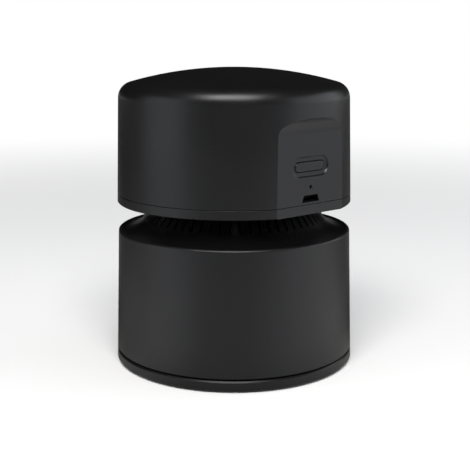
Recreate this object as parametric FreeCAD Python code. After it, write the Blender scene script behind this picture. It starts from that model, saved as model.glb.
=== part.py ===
"""Desktop mini vacuum cleaner, in millimetres.

The machine stands on its base cover. Origin at the middle of the face it stands on,
+Z up along the round body's axis, the flat control panel faces -Y.

Air and crumbs enter through the base, rise through the riser into the dust cup, pass
the filter into the fan, and the air leaves through the slots of the vent collar.
"""
import FreeCAD, Part
import math
import os

from FreeCAD import Vector

# ------------------------------------------------------------------ outside shape
foot_proud = 0.5            # feet stand out under the base cover
base_edge_height = 3.45     # visible edge of the base cover
base_radius = 41.2
base_edge_tuck = 0.1        # the edge leans in a little towards its top
base_chamfer = 0.5
base_seam = 0.45            # open joint between base cover and dust cup
cup_foot_step = 0.1         # dust cup's lower edge inside the base cover's
cup_lean = 1.3              # the dust cup narrows by this much up to its rim
cup_height = 41.7
cup_rim_fillet = 0.8
cup_foot_chamfer = 0.4
waist_height = 9.3          # from the cup's rim to the head's lower edge
head_overhang = 0.2         # the head's lower edge outside the cup's rim
head_height = 45.0          # from the head's lower edge to the top of the dome
head_draft = 1.6            # degrees that the head's wall leans inward
dome_radius = 130.0
dome_edge_fillet = 5.3
head_ring_height = 3.1      # visible height of the head base
head_seam = 0.15            # hairline joint between head base and top shell
head_edge_chamfer = 0.35

# ------------------------------------------------------------------ clearances
running_gap = 0.3           # between bodies that move past each other
seal_gap = 0.05             # running fit of a sealing ring
slip_gap = 0.1              # pieces placed in one another in one body
press_gap = 0.01            # press fits and self-cut threads
bearing_gap = 0.05          # shaft in its bushes

# ------------------------------------------------------------------ base
plate = 2.2                 # thickness of the base cover's plate
spigot_wall = 2.4
spigot_height = 7.4         # stands up into the dust cup
pan_radius = 20.2           # raised pan around the intake, open to the table
pan_rise = 3.5              # how far the pan lies above the underside
intake_radius = 10.0
riser_wall = 1.6
riser_height = 7.0          # above the pan, keeps crumbs from falling back
foot_radius = 4.0
foot_thickness = 1.0
foot_circle = 31.0
foot_count = 4
foot_angle = 45.0           # first foot
foot_rounding = 0.6         # share of what the foot stands out
bristle_ring_radius = 15.6
bristle_ring_width = 4.0
bristle_ring_thickness = 1.3
tuft_radius = 0.8
tuft_count = 24
tuft_table_gap = 0.1
o_ring_section = 0.8        # half of the base seal's thickness
base_seal_height = 5.6      # middle of the seal above the base cover's edge
lug_height = 1.4
lug_rise = 2.3              # underside of the lugs above the base cover's edge
lug_reach = 0.9             # how far a lug enters the wall around it
lug_width = 14.0            # degrees
lug_play = 0.2              # above, below and outside a lug in its slot
lug_side_play = 1.0         # degrees each side of a lug in its slot
lug_count = 3
twist_travel = 20.0         # degrees from locked to free

# ------------------------------------------------------------------ dust cup
cup_wall = 2.0
shelf_thickness = 2.0
shelf_drop = 3.9            # shelf's top under the cup's rim
neck_collar_wall = 2.0
neck_collar_height = 6.9
neck_collar_share = 0.17    # share of the neck collar above the shelf
ledge_width = 1.6
rim_width = 0.4             # flat left on top of the rim inside its rounding

# ------------------------------------------------------------------ vent collar
vent_wall = 1.6
vent_edge_drop = 0.2        # dish edge lies this much under the rim
vent_dish_radius = 9.5      # hollow curve from the dish into the cone
vent_lip = 1.8              # width of the cone's top
vent_top_gap = 0.2          # between the cone's top and the head base
vent_slot_width = 0.8
vent_slot_count = 60
vent_slot_lip = 0.8         # closed ring left above the slots
vent_first_slot = 0.78      # first slot's place, in slot pitches
vent_seat_share = 0.8       # share of the ledge that carries the collar

# ------------------------------------------------------------------ head base and its inside
wall = 2.0                  # wall of the top shell and of the head base
floor_thickness = 2.0
lip_height = 2.0            # rises into the top shell
lip_wall = 1.7
lip_play = 0.1
casing_inset = 15.7         # fan casing, which plugs into the neck, inside the head's edge
neck_gap = 0.5
gasket_thickness = 0.5
flange_thickness = 1.8
flange_width = 4.6
mount_screw_count = 3
mount_screw_angle = 90.0    # first screw
mount_wall = 1.2
mount_floor = 2.0
mount_depth = 3.4           # mount's underside below the head floor's top
boss_radius = 3.2
boss_inset = 7.0            # middle of a boss inside the head's edge
boss_front_angle = 40.0     # degrees each side of the panel's middle
boss_side_angle = 105.0
boss_pad = 1.6              # pad on the head floor under each boss
web_width = 1.6             # rib between a boss and the shell
web_rise = 1.5              # ribs begin this much above the lip
screw_radius = 1.3
screw_head_radius = 2.3
screw_head_height = 1.5
screw_head_sink = 0.3       # heads sit this deep under the surface
screw_bite = 7.0            # length of thread in the boss
screw_rounding = 0.4        # share of a screw head's height
recess_reach = 0.6          # cross recess, share of the head's radius
recess_width = 0.25         # half the recess, share of the screw's radius

# ------------------------------------------------------------------ fan
fan_space = 8.0             # height between inlet plate and motor mount
impeller_inset = 5.9        # impeller's edge inside the casing's
impeller_top_gap = 0.7
impeller_bottom_gap = 0.9
impeller_disc = 1.2
impeller_hub_radius = 3.5
blade_count = 9
blade_thickness = 1.0
blade_inner_radius = 7.0
blade_sweep = 35.0          # degrees that a blade leans back
blade_inset = 0.2           # blade's end inside the disc's edge
inlet_plate = 1.8
inlet_radius = 9.0
collar_wall = 2.7
collar_height = 8.6
post_radius = 1.9
post_inset = 3.3            # middle of a post inside the casing's edge
post_count = 3
post_angle = 30.0           # first post
vanes_per_post = 3
vane_inset = 0.2            # vane's edge inside the casing's
vane_thickness = 1.2
neck_seal_section = 0.9
neck_seal_height = 5.6      # middle of the seal above the collar's lower edge
small_screw_radius = 0.9
small_screw_head_radius = 1.75
small_screw_head_height = 1.1
casing_screw_length = 7.0
mount_screw_bite = 1.9

# ------------------------------------------------------------------ filter
filter_grip_height = 1.7
filter_neck_height = 6.6    # part of the filter inside the fan casing's collar
filter_wall = 1.6
filter_riser_gap = 4.6      # free height between riser and filter
filter_floor = 1.5
filter_rib_count = 8
filter_rib_width = 2.2
filter_rib_depth = 1.4
filter_hoop = 1.4
filter_step = 0.4           # cage's edge inside the neck's
grip_notch_count = 24
grip_notch_depth = 0.6
grip_notch_width = 4.0      # degrees
mesh_thickness = 0.5
filter_lug_rise = 1.75      # underside of the lugs above the collar's lower edge

# ------------------------------------------------------------------ motor
motor_radius = 12.2
motor_length = 24.5
motor_sheet = 0.8
motor_boss_radius = 3.0
motor_boss_height = 1.4
shaft_radius = 1.0
end_cap_height = 2.0
end_cap_plug = 1.6
end_boss_height = 2.0
magnet_thickness = 2.0
magnet_arc = 130.0          # degrees covered by each magnet
magnet_angle = 90.0         # first magnet
magnet_length = 16.0
magnet_rise = 4.0           # above the motor's front face
armature_gap = 0.4
armature_length = 15.0
armature_slot_width = 1.8
armature_slot_depth = 4.9
armature_pole_count = 3
armature_pole_angle = 30.0
shaft_proud = 0.6           # above the end cap's bush
commutator_radius = 2.8
commutator_length = 3.0
motor_screw_circle = 6.5
motor_screw_radius = 1.2
motor_screw_head_radius = 2.1
motor_screw_head_height = 1.1
motor_screw_length = 3.2
terminal_spread = 7.0       # each side of the motor's axis
terminal_width = 2.4
terminal_sheet = 0.4
terminal_height = 4.0

# ------------------------------------------------------------------ battery
cell_radius = 7.0
cell_end_gap = 0.75         # between the cell's rim and the shell
cell_tip_radius = 2.6
cell_tip_length = 1.0
cell_motor_gap = 0.7
cell_rise = 12.6            # cell's middle above the head floor's top
tab_sheet = 0.3
tab_width = 5.0
holder_plate = 1.4
holder_gap = 0.15
saddle_length = 5.0
saddle_inset = 3.0
saddle_wrap = 0.9           # share of the cell's radius held in front
holder_margin = 1.6         # holder beyond the cell
holder_leg_radius = 2.6
holder_leg_gap = 0.3        # between the legs and the motor mount's flange
holder_leg_angle = 32.0     # degrees from the X axis

# ------------------------------------------------------------------ control panel
panel_depth = 3.08          # flat panel inside the head's lower edge, at the button
panel_lean = 1.1            # degrees that the flat leans inward
panel_height = 30.5         # the cut's upper end above the head's lower edge
panel_run_out = 6.2         # radius of the hollow curve that ends the flat at its top
button_width = 13.0
button_height = 3.1
button_rise = 15.2          # middle of the button above the head's lower edge
button_gap = 0.15
button_sink = 0.25          # button's face under the panel's face
button_flange_reach = 1.1
button_flange = 0.8
button_travel = 0.5
button_stem_radius = 1.6
button_rounding = 0.45
dish_width = 15.9
dish_height = 6.6
dish_slope = 0.4            # width of the sloped wall around the dish's flat floor
dish_depth = 0.5
pad_thickness = 0.8
pad_margin = 1.6
led_rise = 8.7              # middle of the indicator above the head's lower edge
led_radius = 0.55
pipe_sink = 1.2             # light pipe's end under the panel's face
pipe_collar = 0.8
pipe_collar_radius = 1.1
usb_width = 7.6             # long side of the charging opening, at the bottom
usb_top_width = 6.0
usb_height = 2.2
usb_rise = 3.95             # bottom of the opening above the head's lower edge
usb_sink = 0.6
usb_sheet = 0.3
tongue_sink = 1.4           # tongue's end behind the socket's mouth
tongue_width = 4.0
tongue_thickness = 0.7
track_width = 0.3           # contact tracks on the tongue
track_depth = 0.1
track_pitch = 0.65

# ------------------------------------------------------------------ circuit board
board_thickness = 1.2
board_half_width = 12.0
board_bottom_rise = 5.0     # above the head's lower edge
board_height = 20.0
board_boss_radius = 1.9
board_boss_x = 9.8
board_boss_inset = 2.4      # from the board's lower and upper edge
board_screw_radius = 0.75
board_screw_head_radius = 1.5
board_screw_head_height = 0.9
board_screw_bite = 3.0
switch_side = 6.0
switch_body = 3.1
switch_spare = 0.35         # travel left in the switch when the button is down
plunger_radius = 1.7
plunger_out = 0.7
plunger_in = 0.5
plunger_gap = 0.05
plunger_spare = 0.2         # room under the pressed plunger
led_side = 1.8
led_body = 0.9
lead_diameter = 1.2
lead_side_gap = 0.02        # soldered side by side on a tab
bend_share = 0.45           # share of the shorter run that a bend takes
lead_run = 6.0              # straight out of the board
motor_lead_x = 5.0
battery_lead_x = 7.0

# ------------------------------------------------------------------ heights worked out
base_bottom = foot_proud
base_top = base_bottom + base_edge_height
cup_bottom = base_top + base_seam
cup_rim = cup_bottom + cup_height
head_bottom = cup_rim + waist_height
ring_top = head_bottom + head_ring_height
shell_bottom = ring_top + head_seam
head_top = head_bottom + head_height
floor_top = head_bottom + floor_thickness
pan_under = base_bottom + pan_rise
pan_top = pan_under + plate
riser_top = pan_top + riser_height
spigot_top = base_top + spigot_height
flange_low = floor_top + gasket_thickness
flange_top = flange_low + flange_thickness
mount_low = floor_top - mount_depth
mount_top = mount_low + mount_floor
inlet_top = mount_low - fan_space
inlet_low = inlet_top - inlet_plate
collar_low = inlet_low - collar_height
shelf_top = cup_rim - shelf_drop
shelf_low = shelf_top - shelf_thickness
grip_top = collar_low - slip_gap
grip_low = grip_top - filter_grip_height
filter_low = riser_top + filter_riser_gap

# ------------------------------------------------------------------ radii worked out
cup_foot_radius = base_radius - cup_foot_step
cup_rim_radius = cup_foot_radius - cup_lean
head_radius = cup_rim_radius + head_overhang
panel_distance = head_radius - panel_depth
casing_radius = head_radius - casing_inset
boss_circle = head_radius - boss_inset
impeller_radius = casing_radius - impeller_inset
post_circle = casing_radius - post_inset
collar_inner = casing_radius - collar_wall
flange_inner = casing_radius + running_gap
flange_outer = flange_inner + flange_width
mount_screw_circle = (flange_inner + flange_outer) / 2
holder_leg_circle = flange_outer + holder_leg_gap + holder_leg_radius
socket_radius = cup_foot_radius - cup_wall
spigot_radius = socket_radius - running_gap
neck_bore = casing_radius + neck_gap
filter_radius = collar_inner - slip_gap
panel_front = -panel_distance
panel_inside = panel_front + wall
pad_inside = panel_inside + pad_thickness
button_face = panel_front + button_sink
flange_front = pad_inside + slip_gap
flange_back = flange_front + button_flange
switch_front = flange_back + button_travel + switch_spare
board_front = switch_front + switch_body
board_back = board_front + board_thickness
button_z = head_bottom + button_rise
led_z = head_bottom + led_rise
usb_low = head_bottom + usb_rise
board_low = head_bottom + board_bottom_rise
board_top = board_low + board_height
cell_y = motor_radius + cell_motor_gap + cell_radius
cell_z = floor_top + cell_rise

origin = Vector(0, 0, 0)
up = Vector(0, 0, 1)
panel_angle = 270.0         # the panel faces -Y
full_turn = 360.0
overcut = 5.0               # a cutter reaches this far past what it cuts
tiny = 0.01                 # for telling edges apart
backwards = Vector(0, 1, 0)


# ------------------------------------------------------------------ building blocks
def cup_outside(height):
    """Outside radius of the dust cup at a height."""
    share = (height - cup_bottom) / cup_height
    return cup_foot_radius + (cup_rim_radius - cup_foot_radius) * share


def head_outside(height):
    """Outside radius of the head's wall at a height."""
    return head_radius - (height - head_bottom) * math.tan(math.radians(head_draft))


def turned(corners):
    """Solid of revolution about Z from a closed run of (radius, height) corners."""
    points = [Vector(radius, 0, height) for radius, height in corners]
    outline = Part.makePolygon(points + points[:1])
    return Part.Face(outline).revolve(origin, up, full_turn)


def ring(outer, inner, low, high):
    """Flat ring, or a disc where inner is 0."""
    solid = Part.makeCylinder(outer, high - low, Vector(0, 0, low))
    if inner > 0:
        solid = solid.cut(Part.makeCylinder(inner, high - low, Vector(0, 0, low)))
    return solid


def sector(outer, inner, low, high, middle, width):
    """Piece of a flat ring that covers width degrees about its middle angle."""
    corners = [Vector(inner, 0, low), Vector(outer, 0, low), Vector(outer, 0, high), Vector(inner, 0, high)]
    solid = Part.Face(Part.makePolygon(corners + corners[:1])).revolve(origin, up, width)
    solid.rotate(origin, up, middle - width / 2)
    return solid


def block(x_range, y_range, z_range):
    """Box between two limits along each axis."""
    size = [high - low for low, high in (x_range, y_range, z_range)]
    return Part.makeBox(*size, Vector(x_range[0], y_range[0], z_range[0]))


def even_angles(count, first=0.0):
    """Angles of a pattern with equal steps."""
    return [first + full_turn * number / count for number in range(count)]


def around(solid, angles):
    """Copies of a solid turned about Z by each angle."""
    copies = []
    for angle in angles:
        copy = solid.copy()
        copy.rotate(origin, up, angle)
        copies.append(copy)
    return copies


def on_circle(radius, angle, height=0.0):
    """Point on a circle about Z."""
    turn = math.radians(angle)
    return Vector(radius * math.cos(turn), radius * math.sin(turn), height)


def o_ring(middle_radius, section, height):
    """Sealing ring of round section."""
    return Part.makeTorus(middle_radius, section, Vector(0, 0, height))


def pill(width, height, front, back, middle):
    """Bar with round ends that lies along X and runs from front to back along Y."""
    radius = height / 2
    reach = width / 2 - radius
    depth = back - front
    bar = block((-reach, reach), (front, back), (middle - radius, middle + radius))
    backwards = Vector(0, 1, 0)
    places = [Vector(side * reach, front, middle) for side in (-1, 1)]
    ends = [Part.makeCylinder(radius, depth, place, backwards) for place in places]
    return bar.multiFuse(ends).removeSplitter()


def pill_wire(width, height, y, middle):
    """Outline of a bar with round ends, in a plane across Y."""
    radius = height / 2
    reach = width / 2 - radius
    top = middle + radius
    low = middle - radius
    edges = [
        Part.makeLine(Vector(-reach, y, top), Vector(reach, y, top)),
        Part.Arc(Vector(reach, y, top), Vector(reach + radius, y, middle), Vector(reach, y, low)).toShape(),
        Part.makeLine(Vector(reach, y, low), Vector(-reach, y, low)),
        Part.Arc(Vector(-reach, y, low), Vector(-reach - radius, y, middle), Vector(-reach, y, top)).toShape(),
    ]
    return Part.Wire(edges)


def trapezoid(width, top_width, height, front, back, low):
    """Prism along Y with a wide bottom and a narrow top."""
    corners = [
        Vector(-width / 2, front, low),
        Vector(width / 2, front, low),
        Vector(top_width / 2, front, low + height),
        Vector(-top_width / 2, front, low + height),
    ]
    face = Part.Face(Part.makePolygon(corners + corners[:1]))
    return face.extrude(Vector(0, back - front, 0))


def screw(head_width, head_height, radius, length):
    """Pan head screw with a cross recess. Its seat is at Z 0 and its point below."""
    head = Part.makeCylinder(head_width, head_height)
    head = head.makeFillet(head_height * screw_rounding, [head.Edges[0]])
    shank = Part.makeCylinder(radius, length, Vector(0, 0, -length))
    solid = head.fuse(shank)
    arm = head_width * recess_reach
    slot = radius * recess_width
    depth = head_height * 0.5
    for reach_x, reach_y in ((arm, slot), (slot, arm)):
        bar = block((-reach_x, reach_x), (-reach_y, reach_y), (head_height - depth, head_height + 1))
        solid = solid.cut(bar)
    return solid


def placed(solid, position, direction):
    """Copy of a solid built about Z, moved to a position with its Z along a direction."""
    copy = solid.copy()
    copy.Placement = FreeCAD.Placement(position, FreeCAD.Rotation(up, direction))
    return copy


def lead(points, diameter):
    """Insulated wire: straight runs joined by tangent arcs."""
    edges = []
    start = points[0]
    radii = []
    for before, corner, after in zip(points, points[1:], points[2:]):
        back = before - corner
        ahead = after - corner
        shorter = min(back.Length, ahead.Length)
        back.normalize()
        ahead.normalize()
        turn = math.pi - back.getAngle(ahead)
        cut = bend_share * shorter
        radius = cut / math.tan(turn / 2)
        middle_line = back + ahead
        middle_line.normalize()
        arc_start = corner + back * cut
        arc_end = corner + ahead * cut
        centre_distance = math.hypot(radius, cut)
        arc_middle = corner + middle_line * (centre_distance - radius)
        edges.append(Part.makeLine(start, arc_start))
        edges.append(Part.Arc(arc_start, arc_middle, arc_end).toShape())
        start = arc_end
        radii.append(round(radius, 1))
    edges.append(Part.makeLine(start, points[-1]))
    path = Part.Wire(edges)
    first = points[1] - points[0]
    section = Part.Wire([Part.makeCircle(diameter / 2, points[0], first)])
    solid = path.makePipeShell([section], True, False)
    share = solid.Volume / (math.pi * diameter ** 2 / 4 * path.Length)
    print("lead: length %.1f, radii %s, volume share %.4f" % (path.Length, radii, share))
    return solid


def save(node, *solids):
    """Write one sub-part, and say how many closed solids it holds."""
    shape = solids[0] if len(solids) == 1 else Part.makeCompound(list(solids))
    shape.exportStep("parts/%s.step" % node)
    print("%-20s solids %3d valid %s volume %9.2f" % (node, len(shape.Solids), shape.isValid(), shape.Volume))


# ------------------------------------------------------------------ outside of the head
def head_body(inset, low):
    """Solid of the head's round form, inset by a wall, from a height up to the dome."""
    lean = math.radians(head_draft)
    rise = Vector(-math.sin(lean), 0, math.cos(lean))
    outward = Vector(math.cos(lean), 0, math.sin(lean))
    dome_centre = Vector(0, 0, head_top - dome_radius)
    wall_foot = Vector(head_radius, 0, head_bottom)
    offset_foot = wall_foot - outward * dome_edge_fillet
    from_centre = offset_foot - dome_centre
    along = from_centre.dot(rise)
    rest = from_centre.dot(from_centre) - (dome_radius - dome_edge_fillet) ** 2
    fillet_centre = offset_foot + rise * (-along + math.sqrt(along ** 2 - rest))
    dome_way = fillet_centre - dome_centre
    dome_way.normalize()
    corner_way = outward + dome_way
    corner_way.normalize()
    apex_way = dome_way + up
    apex_way.normalize()
    fillet = dome_edge_fillet - inset
    wall_end = fillet_centre + outward * fillet
    dome_end = fillet_centre + dome_way * fillet
    low_radius = head_outside(low) - inset / math.cos(lean)
    apex = Vector(0, 0, head_top - inset)
    edges = [
        Part.makeLine(Vector(0, 0, low), Vector(low_radius, 0, low)),
        Part.makeLine(Vector(low_radius, 0, low), wall_end),
        Part.Arc(wall_end, fillet_centre + corner_way * fillet, dome_end).toShape(),
        Part.Arc(dome_end, dome_centre + apex_way * (dome_radius - inset), apex).toShape(),
        Part.makeLine(apex, Vector(0, 0, low)),
    ]
    return Part.Face(Part.Wire(edges)).revolve(origin, up, full_turn)


def touch_angle(point, centre, radius, side):
    """Angle, in the plane across Y, where a line from a point touches a circle."""
    way = point - centre
    spread = math.acos(radius / way.Length)
    return math.atan2(way.z, way.x) + side * spread


def panel_cutter(margin):
    """Takes the flat panel off the round head. Margin moves the cut inward, for the shell's inside."""
    lean = math.radians(panel_lean)
    leant = (panel_height - button_rise) * math.tan(lean)
    sunk = head_outside(head_bottom + panel_height) - panel_distance + leant
    flat_top = head_bottom + panel_height - math.sqrt(2 * panel_run_out * sunk - sunk ** 2)
    radius = panel_run_out + margin
    past = head_radius + panel_run_out + overcut
    centre = Vector(-past, panel_front - panel_run_out, flat_top)
    foot = Vector(-past, panel_front + margin, head_bottom - overcut)
    flat_end = centre + Vector(0, radius, 0)
    bend = centre + Vector(0, 1, 1) * (radius / math.sqrt(2))
    crown = centre + Vector(0, 0, radius)
    outer_top = Vector(-past, -past, crown.z)
    outer_foot = Vector(-past, -past, foot.z)
    edges = [
        Part.makeLine(foot, flat_end),
        Part.Arc(flat_end, bend, crown).toShape(),
        Part.makeLine(crown, outer_top),
        Part.makeLine(outer_top, outer_foot),
        Part.makeLine(outer_foot, foot),
    ]
    cutter = Part.Face(Part.Wire(edges)).extrude(Vector(2 * past, 0, 0))
    cutter.rotate(Vector(0, panel_front, button_z), Vector(1, 0, 0), -panel_lean)
    return cutter


def boss_places():
    """Angles of the bosses that hold the head base to the top shell, measured from the X axis."""
    spreads = (-boss_side_angle, -boss_front_angle, boss_front_angle, boss_side_angle)
    return [panel_angle + spread for spread in spreads]


# ------------------------------------------------------------------ base
def base_cover():
    inner = spigot_radius - spigot_wall
    edge = base_radius - base_edge_tuck
    pan_wall = pan_radius + plate
    riser = intake_radius + riser_wall
    solid = turned([
        (intake_radius, pan_under), (pan_radius, pan_under), (pan_radius, base_bottom),
        (base_radius - base_chamfer, base_bottom), (base_radius, base_bottom + base_chamfer),
        (edge, base_top - base_chamfer), (edge - base_chamfer, base_top), (spigot_radius, base_top),
        (spigot_radius, spigot_top), (inner, spigot_top), (inner, base_bottom + plate),
        (pan_wall, base_bottom + plate), (pan_wall, pan_top), (riser, pan_top), (riser, riser_top),
        (intake_radius, riser_top),
    ])
    seal_z = base_top + base_seal_height
    groove_low = seal_z - o_ring_section - seal_gap
    groove_high = seal_z + o_ring_section + seal_gap
    seal_inner = socket_radius - seal_gap - 2 * o_ring_section
    solid = solid.cut(ring(spigot_radius + 1, seal_inner - seal_gap, groove_low, groove_high))
    lug_low = base_top + lug_rise
    for angle in even_angles(lug_count):
        lug_top = lug_low + lug_height
        lug = sector(socket_radius + lug_reach, spigot_radius - 1, lug_low, lug_top, angle, lug_width)
        solid = solid.fuse(lug)
    for angle in even_angles(foot_count, foot_angle):
        seat_depth = foot_thickness - foot_proud
        place = on_circle(foot_circle, angle, base_bottom)
        solid = solid.cut(Part.makeCylinder(foot_radius + slip_gap, seat_depth, place))
    return solid.removeSplitter()


def base_seal():
    middle = socket_radius - seal_gap - o_ring_section
    return o_ring(middle, o_ring_section, base_top + base_seal_height)


def glide_feet():
    feet = []
    for angle in even_angles(foot_count, foot_angle):
        foot = Part.makeCylinder(foot_radius, foot_thickness, on_circle(foot_circle, angle))
        feet.append(foot.makeFillet(foot_proud * foot_rounding, [foot.Edges[2]]))
    return feet


def brush_ring():
    half = bristle_ring_width / 2
    low = pan_under - bristle_ring_thickness
    solid = ring(bristle_ring_radius + half, bristle_ring_radius - half, low, pan_under)
    for angle in even_angles(tuft_count):
        place = on_circle(bristle_ring_radius, angle, low)
        hole = Part.makeCylinder(tuft_radius, bristle_ring_thickness, place)
        solid = solid.cut(hole)
    return solid


def brush_tufts():
    length = pan_under - tuft_table_gap
    tufts = []
    for angle in even_angles(tuft_count):
        place = on_circle(bristle_ring_radius, angle, tuft_table_gap)
        tufts.append(Part.makeCylinder(tuft_radius - press_gap, length, place))
    return tufts


# ------------------------------------------------------------------ dust cup
def dust_cup():
    socket_top = spigot_top + slip_gap
    ledge_z = cup_rim - vent_edge_drop - vent_wall
    ledge_outer = cup_rim_radius - cup_rim_fillet - rim_width
    ledge_inner = ledge_outer - ledge_width
    collar_outer = neck_bore + neck_collar_wall
    collar_top = shelf_top + neck_collar_height * neck_collar_share
    collar_foot = collar_top - neck_collar_height
    inside_high = cup_outside(shelf_low) - cup_wall
    inside_low = cup_outside(socket_top) - cup_wall
    rim_low = cup_rim - cup_rim_fillet
    rim_radius = cup_outside(rim_low)
    bend = cup_rim_fillet * (1 - math.sqrt(0.5))
    points = [
        (socket_radius, cup_bottom), (cup_foot_radius - cup_foot_chamfer, cup_bottom),
        (cup_outside(cup_bottom + cup_foot_chamfer), cup_bottom + cup_foot_chamfer),
        (rim_radius, rim_low), (rim_radius - cup_rim_fillet, cup_rim), (ledge_outer, cup_rim),
        (ledge_outer, ledge_z), (ledge_inner, ledge_z), (ledge_inner, shelf_top),
        (collar_outer, shelf_top), (collar_outer, collar_top), (neck_bore, collar_top),
        (neck_bore, collar_foot), (collar_outer, collar_foot), (collar_outer, shelf_low),
        (inside_high, shelf_low), (inside_low, socket_top), (socket_radius, socket_top),
    ]
    corners = [Vector(radius, 0, height) for radius, height in points]
    edges = []
    for number, corner in enumerate(corners):
        following = corners[(number + 1) % len(corners)]
        if number == 3:
            middle = Vector(rim_radius - bend, 0, cup_rim - bend)
            edges.append(Part.Arc(corner, middle, following).toShape())
        else:
            edges.append(Part.makeLine(corner, following))
    solid = Part.Face(Part.Wire(edges)).revolve(origin, up, full_turn)
    slot_low = base_top + lug_rise - lug_play
    slot_high = base_top + lug_rise + lug_height + lug_play
    slot_outer = socket_radius + lug_reach + lug_play
    for angle in even_angles(lug_count):
        width = lug_width + twist_travel + 2 * lug_side_play
        middle = angle - twist_travel / 2
        solid = solid.cut(sector(slot_outer, socket_radius - 1, slot_low, slot_high, middle, width))
        entry = lug_width + 2 * lug_side_play
        free = angle - twist_travel
        solid = solid.cut(sector(slot_outer, socket_radius - 1, cup_bottom - 1, slot_high, free, entry))
    return solid


# ------------------------------------------------------------------ vent collar
def vent_collar():
    edge_radius = cup_rim_radius - cup_rim_fillet - rim_width - seal_gap
    edge_top = cup_rim - vent_edge_drop
    seat = edge_top - vent_wall
    top = head_bottom - vent_top_gap
    tip = Vector(neck_bore + vent_lip, 0, top)
    centre = Vector(edge_radius, 0, edge_top + vent_dish_radius)
    touch = touch_angle(tip, centre, vent_dish_radius, 1) % (2 * math.pi)
    way = Vector(math.cos(touch), 0, math.sin(touch))
    outer_end = centre + way * vent_dish_radius
    inner_radius = vent_dish_radius + vent_wall
    inner_end = centre + way * inner_radius
    slope = (tip.z - outer_end.z) / (outer_end.x - tip.x)
    bore_low = inner_end.z + (inner_end.x - neck_bore) * slope
    foot_inner = edge_radius - ledge_width * vent_seat_share
    foot_angle = math.acos((foot_inner - centre.x) / inner_radius)
    foot_way = Vector(math.cos(foot_angle), 0, -math.sin(foot_angle))
    inner_start = centre + foot_way * inner_radius
    half = (touch + 1.5 * math.pi) / 2
    half_way = Vector(math.cos(half), 0, math.sin(half))
    inner_half = (touch + 2 * math.pi - foot_angle) / 2
    inner_half_way = Vector(math.cos(inner_half), 0, math.sin(inner_half))
    edge = Vector(edge_radius, 0, edge_top)
    edges = [
        Part.Arc(edge, centre + half_way * vent_dish_radius, outer_end).toShape(),
        Part.makeLine(outer_end, tip),
        Part.makeLine(tip, Vector(neck_bore, 0, top)),
        Part.makeLine(Vector(neck_bore, 0, top), Vector(neck_bore, 0, bore_low)),
        Part.makeLine(Vector(neck_bore, 0, bore_low), inner_end),
        Part.Arc(inner_end, centre + inner_half_way * inner_radius, inner_start).toShape(),
        Part.makeLine(inner_start, Vector(foot_inner, 0, seat)),
        Part.makeLine(Vector(foot_inner, 0, seat), Vector(edge_radius, 0, seat)),
        Part.makeLine(Vector(edge_radius, 0, seat), edge),
    ]
    solid = Part.Face(Part.Wire(edges)).revolve(origin, up, full_turn)
    half_slot = vent_slot_width / 2
    vent_pitch = full_turn / vent_slot_count
    heights = (outer_end.z, top - vent_slot_lip)
    slot = block((neck_bore - 1, outer_end.x + 1), (-half_slot, half_slot), heights)
    slots = around(slot, even_angles(vent_slot_count, vent_pitch * vent_first_slot))
    return solid.cut(Part.makeCompound(slots))


# ------------------------------------------------------------------ head base
def head_base():
    low_radius = head_outside(head_bottom + head_edge_chamfer)
    top_radius = head_outside(ring_top)
    wall_inside = top_radius - wall - running_gap
    lip_outer = head_outside(shell_bottom + lip_height) - wall - slip_gap - lip_play
    lip_inner = lip_outer - lip_wall
    opening = flange_inner
    lip_top = shell_bottom + lip_height
    solid = turned([
        (opening, head_bottom), (head_radius - head_edge_chamfer, head_bottom),
        (low_radius, head_bottom + head_edge_chamfer), (top_radius, ring_top), (wall_inside, ring_top),
        (lip_outer, ring_top), (lip_outer, lip_top), (lip_inner, lip_top), (lip_inner, floor_top),
        (opening, floor_top),
    ])
    past = head_radius + overcut
    solid = solid.cut(panel_cutter(0.0))
    lip_front = block((-past, past), (-past, panel_inside + slip_gap), (ring_top, lip_top + 1))
    solid = solid.cut(lip_front)
    for angle in boss_places():
        pad = Part.makeCylinder(boss_radius, boss_pad, on_circle(boss_circle, angle, floor_top))
        room = on_circle(boss_circle, angle, floor_top + boss_pad)
        solid = solid.fuse(pad).cut(Part.makeCylinder(boss_radius + slip_gap, lip_top, room))
    head_hole = Part.makeCylinder(screw_head_radius + slip_gap, screw_seat() - head_bottom)
    shank_hole = Part.makeCylinder(screw_radius + slip_gap, head_height)
    for angle in boss_places():
        place = on_circle(boss_circle, angle, head_bottom)
        solid = solid.cut(placed(head_hole, place, up))
        solid = solid.cut(placed(shank_hole, place, up))
    for x, y in holder_legs():
        place = Vector(x, y, head_bottom)
        solid = solid.cut(Part.makeCylinder(small_screw_radius + press_gap, floor_thickness, place))
    for angle in mount_screw_angles():
        place = on_circle(mount_screw_circle, angle, head_bottom)
        solid = solid.cut(Part.makeCylinder(small_screw_radius + press_gap, floor_thickness, place))
    return solid.removeSplitter()


def screw_seat():
    """Height of the face that the shell screws' heads press against."""
    return head_bottom + screw_head_sink + screw_head_height


def shell_screws():
    length = floor_top + boss_pad - screw_seat() + screw_bite
    solid = screw(screw_head_radius, screw_head_height, screw_radius, length)
    return [placed(solid, on_circle(boss_circle, angle, screw_seat()), -up) for angle in boss_places()]


def holder_legs():
    """Places of the battery holder's two legs."""
    place = on_circle(holder_leg_circle, holder_leg_angle)
    return [(-place.x, place.y), (place.x, place.y)]


def mount_screw_angles():
    return even_angles(mount_screw_count, mount_screw_angle)


def post_angles():
    return even_angles(post_count, post_angle)


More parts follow.
